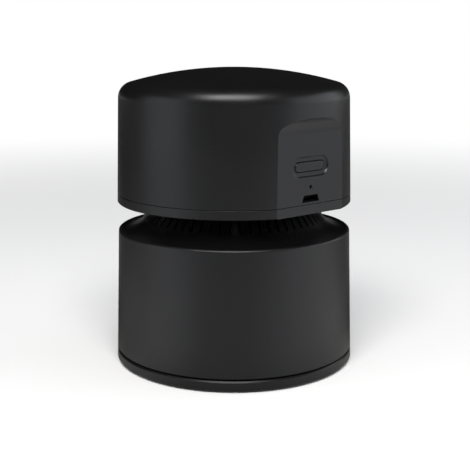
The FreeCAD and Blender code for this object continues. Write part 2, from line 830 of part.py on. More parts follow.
# ------------------------------------------------------------------ top shell
def top_shell():
    outside = head_body(0.0, shell_bottom).cut(panel_cutter(0.0))
    inside = head_body(wall, shell_bottom - 1).cut(panel_cutter(wall))
    solid = outside.cut(inside)
    pad = pill(dish_width + 2 * pad_margin, dish_height + 2 * pad_margin,
               panel_inside - wall / 2, pad_inside, button_z)
    solid = solid.fuse(pad)
    boss_low = floor_top + boss_pad
    for angle in boss_places():
        boss = Part.makeCylinder(boss_radius, head_height, on_circle(boss_circle, angle, boss_low))
        web_end = on_circle(head_radius, angle)
        heights = (boss_low + lip_height + web_rise, head_top)
        web = block((boss_circle, web_end.Length), (-web_width / 2, web_width / 2), heights)
        web.rotate(origin, up, angle)
        solid = solid.fuse(boss.fuse(web).common(head_body(wall / 2, boss_low)))
    for x, z in board_bosses():
        boss = Part.makeCylinder(board_boss_radius, board_front - panel_inside + wall / 2,
                                 Vector(x, panel_inside - wall / 2, z), backwards)
        solid = solid.fuse(boss)
    pilot = Part.makeCylinder(screw_radius + press_gap, screw_bite + 1)
    for angle in boss_places():
        solid = solid.cut(placed(pilot, on_circle(boss_circle, angle, boss_low), up))
    board_pilot = Part.makeCylinder(board_screw_radius + press_gap, board_screw_bite + 0.5)
    for x, z in board_bosses():
        solid = solid.cut(placed(board_pilot, Vector(x, board_front, z), Vector(0, -1, 0)))
    dish_floor = panel_front + dish_depth
    lift = dish_depth
    mouth = pill_wire(dish_width + 2 * dish_slope, dish_height + 2 * dish_slope, panel_front - lift, button_z)
    bottom = pill_wire(dish_width - 2 * dish_slope, dish_height - 2 * dish_slope, dish_floor, button_z)
    solid = solid.cut(Part.makeLoft([mouth, bottom], True))
    through = pill(button_width + 2 * button_gap, button_height + 2 * button_gap,
                   panel_front - 1, pad_inside + 1, button_z)
    solid = solid.cut(through)
    led_hole = Part.makeCylinder(led_radius + seal_gap, overcut, Vector(0, panel_front - 1, led_z), backwards)
    solid = solid.cut(led_hole)
    opening = trapezoid(usb_width, usb_top_width, usb_height, panel_front - 1, panel_inside + 1, usb_low)
    return solid.cut(opening)


def board_bosses():
    """Places, as (x, z), of the bosses that carry the circuit board."""
    heights = (board_low + board_boss_inset, board_top - board_boss_inset)
    return [(side * board_boss_x, height) for side in (-1, 1) for height in heights]


# ------------------------------------------------------------------ fan
def motor_mount():
    inner = casing_radius - mount_wall
    solid = turned([
        (motor_boss_radius + slip_gap, mount_low), (casing_radius, mount_low), (casing_radius, flange_low),
        (flange_outer, flange_low), (flange_outer, flange_top), (inner, flange_top), (inner, mount_top),
        (motor_boss_radius + slip_gap, mount_top),
    ])
    for angle in post_angles():
        place = on_circle(post_circle, angle, mount_low)
        solid = solid.cut(Part.makeCylinder(small_screw_radius + slip_gap, mount_floor, place))
    for side in (-1, 1):
        place = Vector(side * motor_screw_circle, 0, mount_low)
        solid = solid.cut(Part.makeCylinder(motor_screw_radius + press_gap, mount_floor, place))
        seat = Part.makeCylinder(motor_screw_head_radius + slip_gap, motor_screw_head_height, place)
        solid = solid.cut(seat)
    for angle in mount_screw_angles():
        place = on_circle(mount_screw_circle, angle, flange_low)
        solid = solid.cut(Part.makeCylinder(small_screw_radius + slip_gap, flange_thickness, place))
    return solid


def mount_gasket():
    solid = ring(flange_outer, flange_inner, floor_top, flange_low)
    for angle in mount_screw_angles():
        place = on_circle(mount_screw_circle, angle, floor_top)
        solid = solid.cut(Part.makeCylinder(small_screw_radius + slip_gap, gasket_thickness, place))
    return solid


def mount_screws():
    length = flange_top - floor_top + mount_screw_bite
    solid = screw(small_screw_head_radius, small_screw_head_height, small_screw_radius, length)
    places = [on_circle(mount_screw_circle, angle, flange_top) for angle in mount_screw_angles()]
    return [placed(solid, place, up) for place in places]


def fan_casing():
    """Inlet plate with its collar below and the guide vanes and posts above."""
    solid = turned([
        (inlet_radius, inlet_low), (collar_inner, inlet_low), (collar_inner, collar_low),
        (casing_radius, collar_low), (casing_radius, inlet_top), (inlet_radius, inlet_top),
    ])
    seal_z = collar_low + neck_seal_height
    seal_inner = neck_bore - seal_gap - 2 * neck_seal_section
    groove = ring(casing_radius + 1, seal_inner - seal_gap,
                  seal_z - neck_seal_section - seal_gap, seal_z + neck_seal_section + seal_gap)
    solid = solid.cut(groove)
    posts = []
    for angle in post_angles():
        posts.append(Part.makeCylinder(post_radius, fan_space, on_circle(post_circle, angle, inlet_top)))
    post_inner = post_circle - post_radius
    half_vane = vane_thickness / 2
    vane = block((post_inner, casing_radius - vane_inset), (-half_vane, half_vane), (inlet_top, mount_low))
    steps = even_angles(post_count * (vanes_per_post + 1), post_angle)
    vane_angles = [angle for number, angle in enumerate(steps) if number % (vanes_per_post + 1) != 0]
    posts += around(vane, vane_angles)
    solid = solid.multiFuse(posts)
    for angle in post_angles():
        top = on_circle(post_circle, angle, mount_low)
        solid = solid.cut(placed(Part.makeCylinder(small_screw_radius + press_gap, fan_space - 1), top, -up))
    slot_low = collar_low + filter_lug_rise - lug_play
    slot_high = collar_low + filter_lug_rise + lug_height + lug_play
    slot_outer = collar_inner + lug_reach + lug_play
    for angle in even_angles(lug_count):
        width = lug_width + twist_travel + 2 * lug_side_play
        middle = angle + twist_travel / 2
        solid = solid.cut(sector(slot_outer, collar_inner - 1, slot_low, slot_high, middle, width))
        entry = lug_width + 2 * lug_side_play
        free = angle + twist_travel
        solid = solid.cut(sector(slot_outer, collar_inner - 1, collar_low - 1, slot_high, free, entry))
    return solid


def casing_screws():
    solid = screw(small_screw_head_radius, small_screw_head_height, small_screw_radius, casing_screw_length)
    return [placed(solid, on_circle(post_circle, angle, mount_top), up) for angle in post_angles()]


def neck_seal():
    middle = neck_bore - seal_gap - neck_seal_section
    return o_ring(middle, neck_seal_section, collar_low + neck_seal_height)


def impeller():
    top = mount_low - impeller_top_gap
    low = inlet_top + impeller_bottom_gap
    disc_low = top - impeller_disc
    disc = ring(impeller_radius, 0, disc_low, top)
    hub = ring(impeller_hub_radius, 0, low, top)
    blades = []
    blade_length = 2 * impeller_radius
    blade = block((0, blade_length), (-blade_thickness / 2, blade_thickness / 2), (low, disc_low))
    blade.rotate(origin, up, blade_sweep)
    blade.translate(Vector(blade_inner_radius, 0, 0))
    rim = ring(impeller_radius - blade_inset, 0, low, disc_low)
    for copy in around(blade, even_angles(blade_count)):
        blades.append(copy.common(rim))
    solid = disc.multiFuse([hub] + blades)
    return solid.cut(Part.makeCylinder(shaft_radius + press_gap, top - low, Vector(0, 0, low)))


# ------------------------------------------------------------------ motor
def motor_can():
    top = mount_top + motor_length
    low = mount_top - motor_boss_height
    solid = turned([
        (shaft_radius + bearing_gap, low), (motor_boss_radius, low),
        (motor_boss_radius, mount_top), (motor_radius, mount_top), (motor_radius, top),
        (motor_radius - motor_sheet, top), (motor_radius - motor_sheet, mount_top + motor_sheet),
        (motor_boss_radius, mount_top + motor_sheet), (motor_boss_radius, mount_top + 2 * motor_sheet),
        (shaft_radius + bearing_gap, mount_top + 2 * motor_sheet),
    ])
    for side in (-1, 1):
        place = Vector(side * motor_screw_circle, 0, mount_top)
        solid = solid.cut(Part.makeCylinder(motor_screw_radius + press_gap, motor_sheet, place))
    return solid


def motor_end_cap():
    top = mount_top + motor_length
    plug = motor_radius - motor_sheet - slip_gap
    boss_top = top + end_cap_height + end_boss_height
    solid = turned([
        (shaft_radius + bearing_gap, top - end_cap_plug), (plug, top - end_cap_plug), (plug, top),
        (motor_radius, top), (motor_radius, top + end_cap_height), (motor_boss_radius, top + end_cap_height),
        (motor_boss_radius, boss_top), (shaft_radius + bearing_gap, boss_top),
    ])
    for side in (-1, 1):
        solid = solid.cut(terminal(side, press_gap))
    return solid


def terminal(side, extra):
    """Brass tab through the motor's end cap."""
    top = mount_top + motor_length
    half_sheet = terminal_sheet / 2 + extra
    half_width = terminal_width / 2 + extra
    x = side * terminal_spread
    heights = (top - end_cap_plug, top + end_cap_height + terminal_height)
    return block((x - half_sheet, x + half_sheet), (-half_width, half_width), heights)


def motor_terminals():
    return [terminal(side, 0.0) for side in (-1, 1)]


def motor_magnets():
    outer = motor_radius - motor_sheet - seal_gap
    low = mount_top + magnet_rise
    high = low + magnet_length
    inner = outer - magnet_thickness
    return [sector(outer, inner, low, high, angle, magnet_arc) for angle in even_angles(2, magnet_angle)]


def armature():
    outer = motor_radius - motor_sheet - seal_gap - magnet_thickness - armature_gap
    low = mount_top + magnet_rise + (magnet_length - armature_length) / 2
    core = ring(outer, 0, low, low + armature_length)
    drum = ring(commutator_radius, 0, low + armature_length, low + armature_length + commutator_length)
    solid = core.fuse(drum)
    half_slot = armature_slot_width / 2
    heights = (low - 1, low + armature_length)
    slot = block((outer - armature_slot_depth, outer + 1), (-half_slot, half_slot), heights)
    for copy in around(slot, even_angles(armature_pole_count, armature_pole_angle)):
        solid = solid.cut(copy)
    bore = Part.makeCylinder(shaft_radius + press_gap, armature_length + commutator_length, Vector(0, 0, low))
    return solid.cut(bore)


def motor_shaft():
    low = inlet_top + impeller_bottom_gap
    high = mount_top + motor_length + end_cap_height + end_boss_height + shaft_proud
    return ring(shaft_radius, 0, low, high)


def motor_screws():
    """Flat screws, heads sunk in the mount's underside, into the motor's front face."""
    screws = []
    for side in (-1, 1):
        place = Vector(side * motor_screw_circle, 0, mount_low)
        head = Part.makeCylinder(motor_screw_head_radius, motor_screw_head_height, place)
        shank = Part.makeCylinder(motor_screw_radius, motor_screw_length, place)
        reach = motor_screw_head_radius * recess_reach
        half_slot = motor_screw_radius * recess_width
        depths = (mount_low - 1, mount_low + motor_screw_head_height / 2)
        notch = block((place.x - reach, place.x + reach), (-half_slot, half_slot), depths)
        screws.append(head.fuse(shank).cut(notch))
    return screws


# ------------------------------------------------------------------ battery
def cell_half():
    """Half the cell with its tip: it fills the room between the shell's walls."""
    reach = head_outside(cell_z + cell_radius) - wall - cell_end_gap
    return math.sqrt(reach ** 2 - (cell_y + cell_radius) ** 2)


def battery_cell():
    along = Vector(1, 0, 0)
    half = cell_half()
    length = 2 * half - cell_tip_length
    start = Vector(-half, cell_y, cell_z)
    body = Part.makeCylinder(cell_radius, length, start, along)
    tip = Part.makeCylinder(cell_tip_radius, cell_tip_length, start + along * length, along)
    return body.fuse(tip)


def battery_tabs():
    half = cell_half()
    y_range = (cell_y - tab_width, cell_y + tab_width / 2)
    z_range = (cell_z - tab_width / 2, cell_z + tab_width / 2)
    x_ranges = ((half, half + tab_sheet), (-half - tab_sheet, -half))
    return [block(x_range, y_range, z_range) for x_range in x_ranges]


def holder_top():
    """Top of the holder's plate, just under the cell."""
    return cell_z - cell_radius - 3 * slip_gap


def holder_seat():
    """Where the heads of the holder's screws sit, sunk in its plate."""
    return holder_top() - small_screw_head_height - slip_gap


def battery_holder():
    plate_top = holder_top()
    plate_low = plate_top - holder_plate
    half = cell_half() - saddle_inset
    y_low = cell_y - cell_radius * saddle_wrap
    y_high = cell_y + cell_radius + holder_margin
    reach = on_circle(holder_leg_circle, holder_leg_angle).x
    solid = block((-reach, reach), (y_low, y_high), (plate_low, plate_top))
    for side in (-1, 1):
        ends = sorted((side * half, side * (half - saddle_length)))
        saddle = block(ends, (y_low, y_high), (plate_low, cell_z))
        solid = solid.fuse(saddle)
    for x, y in holder_legs():
        leg = Part.makeCylinder(holder_leg_radius, plate_top - floor_top, Vector(x, y, floor_top))
        solid = solid.fuse(leg)
    along = Vector(1, 0, 0)
    hollow = Part.makeCylinder(cell_radius + holder_gap, 4 * half, Vector(-2 * half, cell_y, cell_z), along)
    solid = solid.cut(hollow)
    room = head_outside(cell_z) - wall - cell_end_gap - slip_gap
    solid = solid.common(ring(room, 0, floor_top, cell_z))
    for x, y in holder_legs():
        place = Vector(x, y, floor_top)
        hole = Part.makeCylinder(small_screw_radius + slip_gap, plate_top - floor_top, place)
        seat = Vector(x, y, holder_seat())
        sink = Part.makeCylinder(small_screw_head_radius + slip_gap, cell_radius, seat)
        solid = solid.cut(hole).cut(sink)
    return solid.removeSplitter()


def holder_screws():
    length = holder_seat() - floor_top + mount_screw_bite
    solid = screw(small_screw_head_radius, small_screw_head_height, small_screw_radius, length)
    return [placed(solid, Vector(x, y, holder_seat()), up) for x, y in holder_legs()]


# ------------------------------------------------------------------ board and controls
def circuit_board():
    solid = block((-board_half_width, board_half_width), (board_front, board_back), (board_low, board_top))
    for x, z in board_bosses():
        place = Vector(x, board_front, z)
        hole = Part.makeCylinder(board_screw_radius + slip_gap, board_thickness, place, backwards)
        solid = solid.cut(hole)
    return solid


def board_screws():
    length = board_thickness + board_screw_bite
    solid = screw(board_screw_head_radius, board_screw_head_height, board_screw_radius, length)
    return [placed(solid, Vector(x, board_back, z), backwards) for x, z in board_bosses()]


def usb_shell():
    outer = trapezoid(usb_width - 2 * slip_gap, usb_top_width - 2 * slip_gap, usb_height - 2 * slip_gap,
                      panel_front + usb_sink, board_front, usb_low + slip_gap)
    less = 2 * (slip_gap + usb_sheet)
    inner = trapezoid(usb_width - less, usb_top_width - less, usb_height - less,
                      panel_front + usb_sink - 1, board_front - usb_sheet, usb_low + slip_gap + usb_sheet)
    return outer.cut(inner)


def usb_tongue():
    middle = usb_low + usb_height / 2
    front = panel_front + usb_sink + tongue_sink
    half = tongue_thickness / 2
    depths = (front, board_front - usb_sheet)
    solid = block((-tongue_width / 2, tongue_width / 2), depths, (middle - half, middle + half))
    half_track = track_width / 2
    depths = (front + half_track, board_front - usb_sheet)
    track = block((-half_track, half_track), depths, (middle - half - 1, middle - half + track_depth))
    for number in range(-2, 3):
        groove = track.copy()
        groove.translate(Vector(number * track_pitch, 0, 0))
        solid = solid.cut(groove)
    return solid


def tact_switch():
    half = switch_side / 2
    body = block((-half, half), (switch_front, board_front), (button_z - half, button_z + half))
    well = plunger_in + button_travel + plunger_spare
    hole = Part.makeCylinder(plunger_radius + slip_gap, well, Vector(0, switch_front, button_z), backwards)
    return body.cut(hole)


def switch_plunger():
    front = flange_back + button_stem_length() + plunger_gap
    length = switch_front + plunger_in - front
    return Part.makeCylinder(plunger_radius, length, Vector(0, front, button_z), backwards)


def button_stem_length():
    """What the button's stem must bridge between its flange and the switch's plunger."""
    return switch_front - plunger_out - plunger_gap - flange_back


def power_button():
    cap = pill(button_width, button_height, button_face, flange_front, button_z)
    face_edges = [edge for edge in cap.Edges if edge.BoundBox.YMax < button_face + tiny]
    cap = cap.makeFillet(button_rounding, face_edges)
    flange = pill(button_width + 2 * button_flange_reach, button_height + 2 * button_flange_reach,
                  flange_front, flange_back, button_z)
    solid = cap.fuse(flange)
    stem = button_stem_length()
    if stem > 0:
        place = Vector(0, flange_back, button_z)
        solid = solid.fuse(Part.makeCylinder(button_stem_radius, stem, place, backwards))
    return solid


def status_led():
    half = led_side / 2
    return block((-half, half), (board_front - led_body, board_front), (led_z - half, led_z + half))


def light_pipe():
    back = board_front - led_body - slip_gap
    front = panel_front + pipe_sink
    rod = Part.makeCylinder(led_radius, back - front, Vector(0, front, led_z), backwards)
    collar_place = Vector(0, panel_inside + slip_gap, led_z)
    collar = Part.makeCylinder(pipe_collar_radius, pipe_collar, collar_place, backwards)
    return rod.fuse(collar)


# ------------------------------------------------------------------ leads
def motor_lead(side):
    """From the back of the board up and over to the motor's terminal."""
    beside = side * (terminal_spread + terminal_sheet / 2 + lead_side_gap + lead_diameter / 2)
    tab_top = mount_top + motor_length + end_cap_height + terminal_height
    tab_low = tab_top - 0.85 * terminal_height
    start_z = board_top - 0.7 * lead_run
    return lead([
        Vector(side * motor_lead_x, board_back, start_z),
        Vector(side * motor_lead_x, board_back + lead_run, start_z),
        Vector(beside, board_back + 1.6 * lead_run, start_z + 1.4 * lead_run),
        Vector(beside, -1.1 * lead_run, tab_top + 0.7 * lead_run),
        Vector(beside, 0, tab_top + 0.3 * lead_run),
        Vector(beside, 0, tab_low),
    ], lead_diameter)


def battery_lead(side):
    """From the back of the board round the motor to the cell's end tab."""
    beside = side * (cell_half() + tab_sheet + lead_side_gap + lead_diameter / 2)
    start_z = (board_low + board_top) / 2
    past_motor = side * (motor_radius + 1.5 * lead_run)
    return lead([
        Vector(side * battery_lead_x, board_back, start_z),
        Vector(side * battery_lead_x, board_back + lead_run, start_z),
        Vector(side * (motor_radius + lead_run / 2), board_back + 1.7 * lead_run, start_z),
        Vector(past_motor, -lead_run, (start_z + cell_z) / 2),
        Vector(beside, lead_run, cell_z),
        Vector(beside, cell_y, cell_z),
    ], lead_diameter)


# ------------------------------------------------------------------ filter
def filter_frame():
    top = collar_low + filter_neck_height
    neck_inner = filter_radius - filter_wall
    cage_outer = filter_radius - filter_step
    rib_inner = cage_outer - filter_rib_depth
    grip_outer = casing_radius
    neck = ring(filter_radius, neck_inner, grip_low, top)
    grip = ring(grip_outer, neck_inner, grip_low, grip_top)
    floor = ring(cage_outer, 0, filter_low, filter_low + filter_floor)
    rib = block((rib_inner, cage_outer), (-filter_rib_width / 2, filter_rib_width / 2),
                (filter_low, grip_low + filter_grip_height / 2))
    hoop_z = (filter_low + grip_low) / 2
    hoop = ring(cage_outer, rib_inner, hoop_z - filter_hoop / 2, hoop_z + filter_hoop / 2)
    pieces = [grip, floor, hoop]
    pieces += around(rib, even_angles(filter_rib_count))
    lug_low = collar_low + filter_lug_rise
    lug_outer = collar_inner + lug_reach
    for angle in even_angles(lug_count):
        pieces.append(sector(lug_outer, filter_radius - 1, lug_low, lug_low + lug_height, angle, lug_width))
    solid = neck.multiFuse(pieces)
    notch_floor = grip_outer - grip_notch_depth
    notch = sector(grip_outer + 1, notch_floor, grip_low - 1, grip_top + 1, 0.0, grip_notch_width)
    solid = solid.cut(Part.makeCompound(around(notch, even_angles(grip_notch_count))))
    return solid.removeSplitter()


def filter_mesh():
    outer = filter_radius - filter_step - filter_rib_depth - seal_gap
    low = filter_low + filter_floor
    return ring(outer, outer - mesh_thickness, low, grip_low + filter_grip_height)


# ------------------------------------------------------------------ write the parts
os.makedirs("parts", exist_ok=True)

save("base_cover", base_cover())
save("base_seal", base_seal())
save("glide_feet", *glide_feet())
save("brush_ring", brush_ring())
save("brush_tufts", *brush_tufts())

save("dust_cup", dust_cup())
save("vent_collar", vent_collar())

save("head_base", head_base())
save("shell_screws", *shell_screws())
save("top_shell", top_shell())
save("motor_mount", motor_mount())
save("mount_gasket", mount_gasket())
save("mount_screws", *mount_screws())
save("fan_casing", fan_casing())
save("casing_screws", *casing_screws())
save("neck_seal", neck_seal())
save("motor_can", motor_can())
save("motor_end_cap", motor_end_cap())
save("motor_terminals", *motor_terminals())
save("motor_magnets", *motor_magnets())
save("motor_screws", *motor_screws())
save("battery_cell", battery_cell())
save("battery_tabs", *battery_tabs())
save("battery_holder", battery_holder())
save("holder_screws", *holder_screws())
save("circuit_board", circuit_board())
save("board_screws", *board_screws())
save("usb_shell", usb_shell())
save("usb_tongue", usb_tongue())
save("tact_switch", tact_switch())
save("status_led", status_led())
save("light_pipe", light_pipe())
save("motor_leads", motor_lead(1), motor_lead(-1))
save("battery_leads", battery_lead(1), battery_lead(-1))

save("impeller", impeller())
save("motor_shaft", motor_shaft())
save("armature", armature())

save("filter_frame", filter_frame())
save("filter_mesh", filter_mesh())

save("power_button", power_button())
save("switch_plunger", switch_plunger())
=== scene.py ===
import math
import random

import bmesh
import bpy
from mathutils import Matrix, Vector


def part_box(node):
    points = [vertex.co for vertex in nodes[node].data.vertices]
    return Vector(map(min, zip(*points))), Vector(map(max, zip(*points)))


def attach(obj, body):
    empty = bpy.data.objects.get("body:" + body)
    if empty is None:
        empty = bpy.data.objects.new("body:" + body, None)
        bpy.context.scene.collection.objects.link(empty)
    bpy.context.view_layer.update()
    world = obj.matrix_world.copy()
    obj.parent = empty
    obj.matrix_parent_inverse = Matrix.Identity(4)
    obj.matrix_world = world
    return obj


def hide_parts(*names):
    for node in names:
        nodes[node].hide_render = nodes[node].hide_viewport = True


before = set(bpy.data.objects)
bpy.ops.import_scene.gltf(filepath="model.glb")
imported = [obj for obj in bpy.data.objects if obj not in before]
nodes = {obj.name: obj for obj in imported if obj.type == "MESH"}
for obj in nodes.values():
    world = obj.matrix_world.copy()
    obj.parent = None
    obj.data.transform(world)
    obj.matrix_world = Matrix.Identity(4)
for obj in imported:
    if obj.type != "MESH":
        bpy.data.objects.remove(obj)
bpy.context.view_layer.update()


# ---------------------------------------------------------------- base cover
# The round foot plate with its raised suction pan. Injection moulded in black ABS
# with a fine spark-eroded grain, satin rather than glossy, and turned onto the cup.

mm = 0.001


def new_group(name, inputs, outputs):
    """Empty shader node group with named sockets, and its first and last node."""
    group = bpy.data.node_groups.new(name, "ShaderNodeTree")
    for label, kind, default in inputs:
        socket = group.interface.new_socket(name=label, in_out="INPUT", socket_type=kind)
        socket.default_value = default
    for label, kind in outputs:
        group.interface.new_socket(name=label, in_out="OUTPUT", socket_type=kind)
    return group, group.nodes.new("NodeGroupInput"), group.nodes.new("NodeGroupOutput")


def wired(tree, kind, links=None, **settings):
    """New node in a tree, with its settings, values and incoming links."""
    node = tree.nodes.new(kind)
    for key, value in settings.items():
        setattr(node, key, value)
    for key, value in (links or {}).items():
        socket = node.inputs[key]
        if isinstance(value, bpy.types.NodeSocket):
            tree.links.new(value, socket)
        else:
            socket.default_value = value
    return node


def calculated(tree, operation, *values, **settings):
    """Result of a maths node on values and sockets."""
    links = dict(enumerate(values))
    return wired(tree, "ShaderNodeMath", links, operation=operation, **settings).outputs[0]


def ramp(tree, value, start, end, low=0.0, high=1.0, shape="LINEAR"):
    """Goes from low to high while a value goes from start to end."""
    limits = {"Value": value, "From Min": start, "From Max": end, "To Min": low, "To Max": high}
    return wired(tree, "ShaderNodeMapRange", limits, interpolation_type=shape).outputs["Result"]


def cloudy(tree, place, scale, detail, roughness=0.5):
    """Noise between 0 and 1."""
    values = {"Vector": place, "Scale": scale, "Detail": detail, "Roughness": roughness}
    return wired(tree, "ShaderNodeTexNoise", values).outputs["Fac"]


def make_grain_group():
    """Spark-eroded mould grain: a fine height, and a slow change of gloss over the part."""
    group, start, end = new_group(
        "mould_grain",
        [("Scale", "NodeSocketFloat", 5200.0), ("Depth", "NodeSocketFloat", 1.0)],
        [("Height", "NodeSocketFloat"), ("Gloss", "NodeSocketFloat")])
    place = wired(group, "ShaderNodeTexCoord").outputs["Object"]
    fine = start.outputs["Scale"]
    coarse = calculated(group, "MULTIPLY", fine, 0.31)
    spots = {"Vector": place, "Scale": fine}
    pits = wired(group, "ShaderNodeTexVoronoi", spots, feature="SMOOTH_F1").outputs["Distance"]
    both = calculated(group, "ADD", pits, cloudy(group, place, coarse, 4.0, 0.6))
    height = calculated(group, "MULTIPLY", both, start.outputs["Depth"])
    group.links.new(height, end.inputs["Height"])
    gloss = ramp(group, cloudy(group, place, 55.0, 3.0, 0.55), 0.3, 0.7, -1.0, 1.0)
    group.links.new(gloss, end.inputs["Gloss"])
    return group


def make_edge_group():
    """Rounded edges: a softened normal, and a mask of the edges that handling has polished."""
    group, start, end = new_group(
        "worn_edges",
        [("Radius", "NodeSocketFloat", 0.0003), ("Wear", "NodeSocketFloat", 0.5)],
        [("Normal", "NodeSocketVector"), ("Edge", "NodeSocketFloat")])
    bevel = wired(group, "ShaderNodeBevel", {"Radius": start.outputs["Radius"]}, samples=4)
    soft = bevel.outputs["Normal"]
    plain = wired(group, "ShaderNodeNewGeometry").outputs["Normal"]
    facing = wired(group, "ShaderNodeVectorMath", {0: soft, 1: plain}, operation="DOT_PRODUCT")
    bent = ramp(group, facing.outputs["Value"], 0.995, 0.8)
    place = wired(group, "ShaderNodeTexCoord").outputs["Object"]
    patchy = ramp(group, cloudy(group, place, 420.0, 3.0), 0.35, 0.65, 0.25, 1.0)
    mask = calculated(group, "MULTIPLY", bent, patchy)
    worn = calculated(group, "MULTIPLY", mask, start.outputs["Wear"], use_clamp=True)
    group.links.new(soft, end.inputs["Normal"])
    group.links.new(worn, end.inputs["Edge"])
    return group


mould_grain = make_grain_group()
worn_edges = make_edge_group()


def new_finish(name):
    """New material with only its Principled shader and output."""
    finish = bpy.data.materials.new(name)
    finish.use_nodes = True
    return finish, finish.node_tree, finish.node_tree.nodes["Principled BSDF"]


def blend(tree, share, first, second):
    """Colour that goes from the first to the second with a share."""
    ends = {"Factor": share, 6: (*first, 1.0), 7: (*second, 1.0)}
    return wired(tree, "ShaderNodeMix", ends, data_type="RGBA").outputs[2]


def raised(tree, shader, height, strength, depth, edges=None):
    """Relief on the shader's normal, over softened edges where they are given."""
    links = {"Height": height, "Strength": strength, "Distance": depth}
    if edges is not None:
        links["Normal"] = edges.outputs["Normal"]
    relief = wired(tree, "ShaderNodeBump", links)
    tree.links.new(relief.outputs["Normal"], shader.inputs["Normal"])


def moulded(name, colour, edge_colour, rough, specular=0.5, grain=5200.0, depth=1.0, bump=0.25,
            wear=0.5):
    """Injection moulded plastic: grained, its edges a little lighter and smoother."""
    finish, tree, shader = new_finish(name)
    grained = {"Scale": grain, "Depth": depth}
    surface = wired(tree, "ShaderNodeGroup", grained, node_tree=mould_grain)
    rounded = {"Radius": 0.3 * mm, "Wear": wear}
    edges = wired(tree, "ShaderNodeGroup", rounded, node_tree=worn_edges)
    edge = edges.outputs["Edge"]
    tree.links.new(blend(tree, edge, colour, edge_colour), shader.inputs["Base Color"])
    uneven = calculated(tree, "MULTIPLY_ADD", surface.outputs["Gloss"], 0.04, rough)
    polished = calculated(tree, "MULTIPLY_ADD", edge, -0.12, uneven)
    tree.links.new(polished, shader.inputs["Roughness"])
    raised(tree, shader, surface.outputs["Height"], bump, 0.02 * mm, edges)
    shader.inputs["Specular IOR Level"].default_value = specular
    shader.inputs["Specular Tint"].default_value = (0.88, 0.92, 1.0, 1.0)
    return finish


def finish_node(name, finish):
    """Gives a CAD node its finish."""
    node = nodes[name]
    for slot in node.material_slots:
        slot.material = finish
    if not node.material_slots:
        raise ValueError(f"{name} has no material slot")


housing_colour = (0.0050, 0.0051, 0.0055)
housing_edge = (0.012, 0.012, 0.013)
housing_black = moulded("housing_black", housing_colour, housing_edge, 0.35, specular=0.44)
finish_node("base_cover", housing_black)


# ---------------------------------------------------------------- feet
# Four soft discs of grey thermoplastic rubber, pressed into round seats under the
# base cover. They keep it from sliding, and their faces are a little scuffed.

def rubbery(name, colour, dust_colour, rough, grain=2600.0, bump=0.5):
    """Soft rubber or paper: dull, finely pitted, with a paler bloom in patches."""
    finish, tree, shader = new_finish(name)
    surface = wired(tree, "ShaderNodeGroup", {"Scale": grain}, node_tree=mould_grain)
    edges = wired(tree, "ShaderNodeGroup", {"Radius": 0.2 * mm}, node_tree=worn_edges)
    gloss = surface.outputs["Gloss"]
    bloom = ramp(tree, gloss, -0.4, 1.0, 0.0, 0.6)
    tree.links.new(blend(tree, bloom, colour, dust_colour), shader.inputs["Base Color"])
    dull = calculated(tree, "MULTIPLY_ADD", gloss, 0.05, rough)
    tree.links.new(dull, shader.inputs["Roughness"])
    raised(tree, shader, surface.outputs["Height"], bump, 0.03 * mm, edges)
    shader.inputs["Specular IOR Level"].default_value = 0.3
    return finish


soft_grey_rubber = rubbery("soft_grey_rubber", (0.10, 0.10, 0.105), (0.16, 0.16, 0.16), 0.72)
finish_node("glide_feet", soft_grey_rubber)


# ---------------------------------------------------------------- brush
# A ring of dark plastic around the intake, with 24 drilled holes that each hold a
# tuft of black nylon filament. The tufts sweep the table and end just above it.

fitting_black = moulded("fitting_black", (0.0016, 0.0016, 0.0017), (0.004, 0.004, 0.0043), 0.38,
                        specular=0.36)
finish_node("brush_ring", fitting_black)

tuft_low, tuft_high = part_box("brush_tufts")
tuft_count = 24
tuft_circle = 15.6 * mm
tuft_radius = 0.74 * mm
filaments_per_tuft = 34
filament_radius = 0.07 * mm
filament_sides = 5
filament_bow = 0.04             # share of its length
filament_profile = ((0.0, 1.0), (0.35, 1.0), (0.7, 0.95), (0.95, 0.85), (1.0, 0.45))
golden_turn = 2.39996           # spreads the filaments evenly over a tuft
foot_share = 0.82               # a tuft is this much narrower at its foot
tip_share = 0.98                # and at its tips
tip_sway = 0.05                 # most a tip stands aside, in mm
tip_rise = 0.16                 # and how uneven the tips' heights are, in mm


def join_rings(mesh, rings):
    """Faces between each ring of corners and the next."""
    for below, above in zip(rings, rings[1:]):
        for side in range(len(below)):
            following = (side + 1) % len(below)
            mesh.faces.new((below[side], below[following], above[following], above[side]))


def add_filament(mesh, foot, tip):
    """One nylon filament from its foot to its tip, bowed a little and rounded off at the tip."""
    run = tip - foot
    across = run.cross(Vector((0.3, 0.9, 0.1))).normalized()
    other = run.cross(across).normalized()
    bow = across * run.length * filament_bow
    rings = []
    for share, width in filament_profile:
        middle = foot + run * share + bow * math.sin(math.pi * share)
        corners = []
        for side in range(filament_sides):
            turn = 2 * math.pi * side / filament_sides
            outward = across * math.cos(turn) + other * math.sin(turn)
            corners.append(mesh.verts.new(middle + outward * filament_radius * width))
        rings.append(corners)
    join_rings(mesh, rings)
    mesh.faces.new(rings[-1])
    mesh.faces.new(list(reversed(rings[0])))


def finished_piece(name, mesh, finish, body):
    """Turns mesh code into a named piece on its body, with its finish."""
    bmesh.ops.recalc_face_normals(mesh, faces=mesh.faces)
    data = bpy.data.meshes.new(name)
    mesh.to_mesh(data)
    mesh.free()
    data.materials.append(finish)
    for face in data.polygons:
        face.use_smooth = True
    data.set_sharp_from_angle(angle=math.radians(50))
    piece = bpy.data.objects.new(name, data)
    bpy.context.scene.collection.objects.link(piece)
    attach(piece, body)
    return piece


